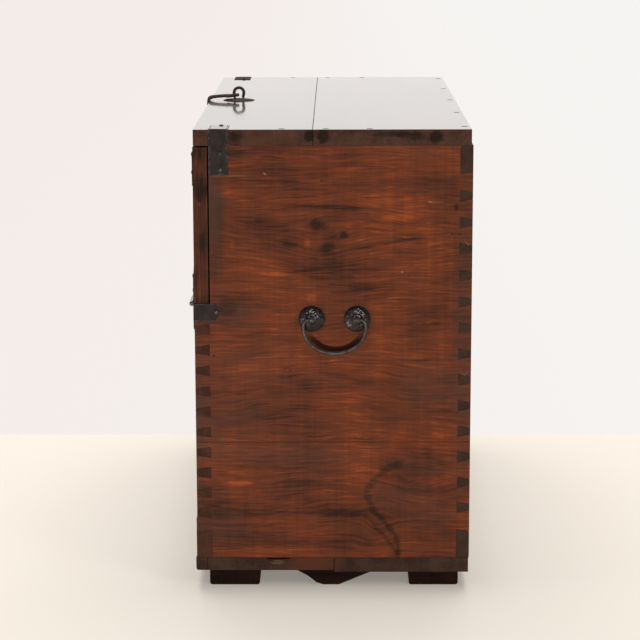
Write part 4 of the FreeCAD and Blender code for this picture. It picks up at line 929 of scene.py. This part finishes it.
def make_hasp():
    """Two arms round the eye, a wavy bar, a rounded knee and a flat pierced end in front."""
    shape = bmesh.new()
    fork = [*HALF_FORK, *((-x, y) for x, y in HALF_FORK[-2::-1])]
    arms = [Vector((x, y, y * ARM_SLOPE - 0.0004)) for x, y in fork]
    add_bar(shape, arms, [(0.002, 0.0026)] * len(arms), Vector((0, -ARM_SLOPE, 1)).normalized())
    move_all(shape, Matrix.Translation(JOINT_AT["hasp_lift"]))
    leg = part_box("hasp")[0][1] + 0.0022
    bar = (*HASP_LINE, (leg + 0.0006, 0.7404), (leg, 0.7335), (leg, 0.7225))
    path = even_path([Vector((0, y, z)) for y, z in bar], 0.0022)
    widths = []
    for spot in path:
        share = min(1.0, max(0.0, (spot.y + 0.186) / 0.012))
        knee = max(0.0, 1 - abs(spot.y + 0.2055) / 0.008)
        lying = min(1.0, max(0.0, (spot.z - 0.738) / 0.003))
        widths.append((0.0022 + 0.0006 * lying + 0.0006 * knee, 0.0052 + 0.0022 * share))
    add_bar(shape, path, widths, X_AXIS, sides=16, square=3.0, dents=0.08)
    tip = [Vector((x, leg, z)) for x, z in arc_points((0.0, TIP_HEIGHT), 0.0051, 0, 23 / 24, 23)]
    add_bar(shape, tip, [(0.0019, 0.0021)] * len(tip), Y_AXIS, loop=True)
    add_piece("hasp", "_forged", shape)


def make_hasp_plate():
    """The ogee lozenge under the hasp's eye, thin at its rim."""
    shape = bmesh.new()
    low, high = (Vector(corner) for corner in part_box("hasp_plate"))
    middle = (low + high) / 2
    half = (high - low) / 2
    outline = []
    for quarter in range(4):
        for step in range(12):
            share = step / 12
            sway = 0.085 * math.sin(math.tau * share)
            along = (1 - share) + sway * 0.6
            aside = share - sway
            x, y = ((aside, along), (along, -aside), (-aside, -along), (-along, aside))[quarter]
            outline.append((x * half.x, y * half.y))
    skin(shape, [
        [shape.verts.new((x * shrink, middle.y + y * shrink, low.z + rise)) for x, y in outline]
        for shrink, rise in ((1.0, 0.0), (1.0, 0.0010), (0.8, 0.0024), (0.5, 0.0034),
                             (0.2, 0.0038))
    ])
    add_piece("hasp_plate", "_ogee", shape)


def make_ring_pin(node, place, face, ring, wire, lift, through):
    """A round split pin: the hasp's eye, or the staple on the lock plate."""
    shape = bmesh.new()
    add_split_pin(shape, on_face(face, place), ring, lift + ring + wire, (wire, wire), lift,
                  through, spread=0.86, turn=0.22)
    add_piece(node, "_bent", shape)


def box_middle(node):
    low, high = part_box(node)
    return (Vector(low) + Vector(high)) / 2


make_hasp()
make_hasp_plate()
make_ring_pin("hasp_eye", (0.0, box_middle("hasp_eye").y, TOP_SURFACE), "top", HASP_RING,
              HASP_WIRE, 0.0023, 0.025)
make_ring_pin("lock_staple", (0.0, DOOR_FRONT, box_middle("lock_staple").z), "front",
              0.0065, 0.002, 0.0019, 0.0225)


# Straps over the ends of the top
STRAP_THICKNESS = 0.0012
RIM_SINK = 0.0005
RIM_STEPS = (0.0, 0.0003, 0.0018, 0.0023, 0.0028)


def make_strap(node):
    """A thin strap bent over the edge, with a line cut along its rim."""
    low, high = (Vector(corner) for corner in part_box(node))
    way = math.copysign(1, high.x)
    middle = (low.y + high.y) / 2
    half = (high.y - low.y) / 2
    down = high.z - low.z
    over = (high.x - low.x) - STRAP_THICKNESS
    edge = Vector((CARCASS_SIDE, 0, TOP_SURFACE))
    rises = [*RIM_STEPS, *(0.0028 + (down - 0.0045) * step / 14 for step in range(1, 15))]
    insets = [0.002 + (over - 0.005) * step / 8 for step in range(9)]
    insets += [over - step for step in RIM_STEPS[3::-1]]
    rows = [(Vector((CARCASS_SIDE, 0, low.z + rise)), X_AXIS) for rise in rises]
    for turn in range(1, 7):
        angle = QUARTER * turn / 6
        rows.append((edge, X_AXIS * math.cos(angle) + Z_AXIS * math.sin(angle)))
    rows += [(edge - X_AXIS * inset, Z_AXIS) for inset in insets]
    columns = [step - half for step in RIM_STEPS] + [-half / 2]
    columns += [0.0] + [-column for column in columns[::-1]]
    bottom, side = len(rows) - 1, len(columns) - 1
    shape = bmesh.new()
    outer, inner = [], []
    for row, (base, facing) in enumerate(rows):
        outer.append([])
        inner.append([])
        for column, across in enumerate(columns):
            rim = row in (0, bottom) or column in (0, side)
            cut = row == 3 or column in (3, side - 3)
            within = 2 < row < bottom - 2 and 2 < column < side - 2
            under = base + Y_AXIS * across
            sunk = RIM_SINK if rim or (cut and within) else 0.0
            spot = under + facing * (STRAP_THICKNESS - sunk)
            spot += facing * noise.noise(spot * STRAP_DENTS) * STRAP_DENT_DEPTH
            for sheet, (x, y, z) in ((outer, spot), (inner, under)):
                sheet[-1].append(shape.verts.new((x * way, y + middle, z)))
    for sheet in (outer, inner):
        skin(shape, sheet, around=False, capped=False)
    for end in (0, -1):
        sides = [[corners[end] for corners in sheet] for sheet in (outer, inner)]
        skin(shape, sides, around=False, capped=False)
        skin(shape, [outer[end], inner[end]], around=False, capped=False)
    bmesh.ops.remove_doubles(shape, verts=shape.verts, dist=1e-6)
    bmesh.ops.dissolve_degenerate(shape, edges=shape.edges, dist=1e-7)
    add_piece(node, "_bent", shape, crease=40)


for hand in ("right", "left"):
    make_strap(f"top_corner_strap_{hand}")


# Nails
def make_nail_tree():
    """Nails on points: a domed head and a square tapered shank, facing along an attribute."""
    tree = bpy.data.node_groups.new("wrought_nails", "GeometryNodeTree")
    for label, way, kind in (("Nails", "INPUT", "Geometry"), ("Seed", "INPUT", "Int"),
                             ("Iron", "INPUT", "Material"), ("Nails", "OUTPUT", "Geometry")):
        tree.interface.new_socket(label, in_out=way, socket_type="NodeSocket" + kind)
    wires = Wiring(tree)
    entry = wires.node("NodeGroupInput").outputs

    def add(kind, inputs=None, **settings):
        return wires.node(kind, inputs, **settings).outputs[0]

    def uneven(low, high):
        """Another random value for each nail."""
        return add("FunctionNodeRandomValue", {"Seed": entry["Seed"], 0: low, 1: high},
                   data_type="FLOAT_VECTOR")

    ball = add("GeometryNodeMeshUVSphere", {"Segments": 12, "Rings": 8, "Radius": 1.0})
    head = add("GeometryNodeTransform", {"Geometry": ball, "Scale": (0.004, 0.004, 0.0016)})
    shaft = add("GeometryNodeMeshCone", {"Vertices": 4, "Radius Top": 0.0003,
                                         "Radius Bottom": 0.0016, "Depth": 0.014})
    shank = add("GeometryNodeTransform", {"Geometry": shaft, "Rotation": (math.pi, 0.0, 0.0)})
    joined = wires.node("GeometryNodeJoinGeometry")
    for part in (head, shank):
        tree.links.new(part, joined.inputs[0])
    facing = add("GeometryNodeInputNamedAttribute", {"Name": "facing"}, data_type="FLOAT_VECTOR")
    aim = add("FunctionNodeAlignRotationToVector", {"Vector": facing}, axis="Z")
    spin = uneven((-0.06, -0.06, 0.0), (0.06, 0.06, 3.0))
    turn = add("FunctionNodeEulerToRotation", {"Euler": spin})
    both = add("FunctionNodeRotateRotation", {"Rotation": aim, "Rotate By": turn},
               rotation_space="LOCAL")
    placed = add("GeometryNodeInstanceOnPoints", {
        "Points": entry["Nails"], "Instance": joined.outputs[0], "Rotation": both,
        "Scale": uneven((0.86, 0.86, 0.85), (1.0, 1.0, 1.1)),
    })
    real = add("GeometryNodeRealizeInstances", {"Geometry": placed})
    iron = add("GeometryNodeSetMaterial", {"Geometry": real, "Material": entry["Iron"]})
    tree.links.new(iron, wires.node("NodeGroupOutput").inputs[0])
    return tree


NAIL_TREE = make_nail_tree()


def nail_place(low, high):
    """The foot of a nail's head and the way that the head faces."""
    middle = (low + high) / 2
    spread = high - low
    axis = max(range(3), key=lambda part: spread[part])
    way = {0: math.copysign(1, middle.x), 1: -1, 2: 1}[axis]
    facing = Vector((0, 0, 0))
    facing[axis] = way
    middle[axis] = (high if way > 0 else low)[axis] - way * 0.0015
    return middle, facing


def make_nails(node, seed):
    """The nails of one kind of plate, in place of the CAD's."""
    places = [nail_place(low, high) for low, high in solids_of(node)]
    points = bpy.data.meshes.new(node + "_points")
    points.from_pydata([place for place, _ in places], [], [])
    facing = points.attributes.new("facing", "FLOAT_VECTOR", "POINT")
    for item, (_, way) in zip(facing.data, places):
        item.vector = way
    holder = add_object(node + "_points", points)
    modifier = holder.modifiers.new("nails", "NODES")
    modifier.node_group = NAIL_TREE
    values = {"Seed": seed, "Iron": MATERIALS["nail_iron"]}
    for item in NAIL_TREE.interface.items_tree:
        if item.name in values:
            modifier[item.identifier] = values[item.name]
    graph = bpy.context.evaluated_depsgraph_get()
    mesh = bpy.data.meshes.new_from_object(holder.evaluated_get(graph))
    mesh.name = node + "_wrought"
    bpy.data.objects.remove(holder)
    mesh.shade_smooth()
    mesh.set_sharp_from_angle(angle=math.radians(50))
    stand_in(node + "_wrought", mesh, node)


for seed, node in enumerate(("top_strap_nails", "hinge_carcass_nails", "hinge_door_nails",
                             "door_plate_nails", "lower_plate_nails", "lock_plate_nails")):
    make_nails(node, seed)


# Floor, backdrop and light
BACKDROP_LINE = -0.515
FLOOR_REACH = 30.0
BACKDROP_WHITE = srgb(246, 244, 242)


def ray_kinds(wires):
    """Two masks: rays from the camera, and all that show what they meet, mirrored or not."""
    path = wires.node("ShaderNodeLightPath").outputs
    clear = wires.math("MAXIMUM", path["Is Glossy Ray"], path["Is Transmission Ray"])
    return path["Is Camera Ray"], wires.math("MAXIMUM", path["Is Camera Ray"], clear)


def make_floor():
    """A pale floor whose far part is a white backdrop; it keeps the chest's shadow, and its glow is weaker under
    and round the chest, which paints shade there.
    """
    mesh = bpy.data.meshes.new("studio_floor")
    corners = [(x * FLOOR_REACH, y * FLOOR_REACH, 0.0)
               for x, y in ((-1, -1), (1, -1), (1, 1), (-1, 1))]
    mesh.from_pydata(corners, [], [(0, 1, 2, 3)])
    floor = add_object("studio_floor", mesh)
    material, wires, shader, coordinates = new_material("floor_paint")
    x, y, _ = wires.parts(coordinates["Object"])
    wires.feed(shader.inputs, {"Base Color": srgb(236, 227, 216), "Roughness": 0.9,
                               "Specular IOR Level": 0.0})
    camera, seen = ray_kinds(wires)
    wall = wires.span(x, BACKDROP_LINE, BACKDROP_LINE - 0.006)
    paper = wires.mix(wires.span(y, -1.5, 1.5), srgb(244, 236, 232), BACKDROP_WHITE)
    paper = wires.mix(camera, srgb(255, 251, 248), paper)
    shade = wires.mix(wall, srgb(244, 235, 224), paper)
    glow = wires.node("ShaderNodeEmission", {"Color": shade, "Strength": 1.0})
    aside = wires.math("ABSOLUTE", y)
    # Painted shade: the floor glows less under and round the chest.
    under_chest_shade = wires.times(wires.span(aside, 0.32, 0.2), wires.span(x, 0.58, 0.46))
    share = wires.times(wires.blend(wall, wires.blend(under_chest_shade, 0.5, 0.25), 1.0), seen)
    both = wires.node("ShaderNodeMixShader", {0: share, 1: shader.outputs[0], 2: glow.outputs[0]})
    wires.feed(material.node_tree.nodes["Material Output"].inputs, {"Surface": both.outputs[0]})
    mesh.materials.append(material)


def make_light(name, place, aim, size, power, mirrored=True):
    """A soft rectangular studio light, which shiny surfaces show if it is mirrored."""
    data = bpy.data.lights.new(name, "AREA")
    data.shape = "RECTANGLE"
    data.size, data.size_y = size
    data.energy = power
    light = add_object(name, data)
    light.location = place
    light.rotation_euler = (Vector(aim) - Vector(place)).to_track_quat("-Z", "Y").to_euler()
    light.visible_glossy = mirrored


def make_world():
    """An even room, which mirrors brighter towards the backdrop."""
    world = bpy.data.worlds.new("studio")
    bpy.context.scene.world = world
    world.use_nodes = True
    world.node_tree.nodes.clear()
    wires = Wiring(world.node_tree)
    camera, seen = ray_kinds(wires)
    way = wires.node("ShaderNodeTexCoord").outputs["Generated"]
    room = wires.span(wires.parts(way)[0], 0.35, -0.1, 0.22, 1.12)
    strength = wires.blend(seen, 0.3, wires.blend(camera, room, 1.0))
    sky = wires.node("ShaderNodeBackground", {"Color": BACKDROP_WHITE, "Strength": strength})
    wires.node("ShaderNodeOutputWorld", {"Surface": sky.outputs[0]})


CAMERA_PLACE = (3.7745, 0.01275, 1.0961)
FOCAL_PIXELS = 2147.9


def make_camera():
    """The camera stands level with the middle of the right side and looks a little down."""
    yaw, pitch, roll = (math.radians(angle) for angle in (0.41, 11.28, -0.13))
    data = bpy.data.cameras.new("camera")
    data.sensor_width = 36.0
    data.lens = FOCAL_PIXELS * 36.0 / 640.0
    camera = add_object("camera", data)
    camera.matrix_world = (
        Matrix.Translation(CAMERA_PLACE) @ Matrix.Rotation(QUARTER + yaw, 4, "Z")
        @ Matrix.Rotation(QUARTER - pitch, 4, "X") @ Matrix.Rotation(roll, 4, "Z")
    )
    bpy.context.scene.camera = camera


RIGHT_END = (0.4, 0.0, 0.4)
make_floor()
make_world()
make_light("front_light", (4.6, 0.3, 0.5), RIGHT_END, (0.7, 0.5), 38.0)
make_light("right_light", (2.7, 2.4, 2.0), RIGHT_END, (1.2, 1.2), 25.0, mirrored=False)
make_light("glint_light", (2.7, 2.4, 2.0), RIGHT_END, (0.4, 0.4), 2.8)
make_light("overhead_light", (-1.0, 0.0, 3.2), (0.0, 0.0, 0.0), (2.4, 3.0), 130.0, mirrored=False)
make_light("low_light", (1.2, -0.35, 0.06), (0.475, 0.01, 0.40), (0.2, 0.2), 1.2)
make_light("door_light", (1.0, -3.4, 1.4), (0.1, 0.0, 0.4), (1.6, 1.6), 30.0, mirrored=False)
make_camera()
bpy.context.scene.view_settings.view_transform = "Standard"
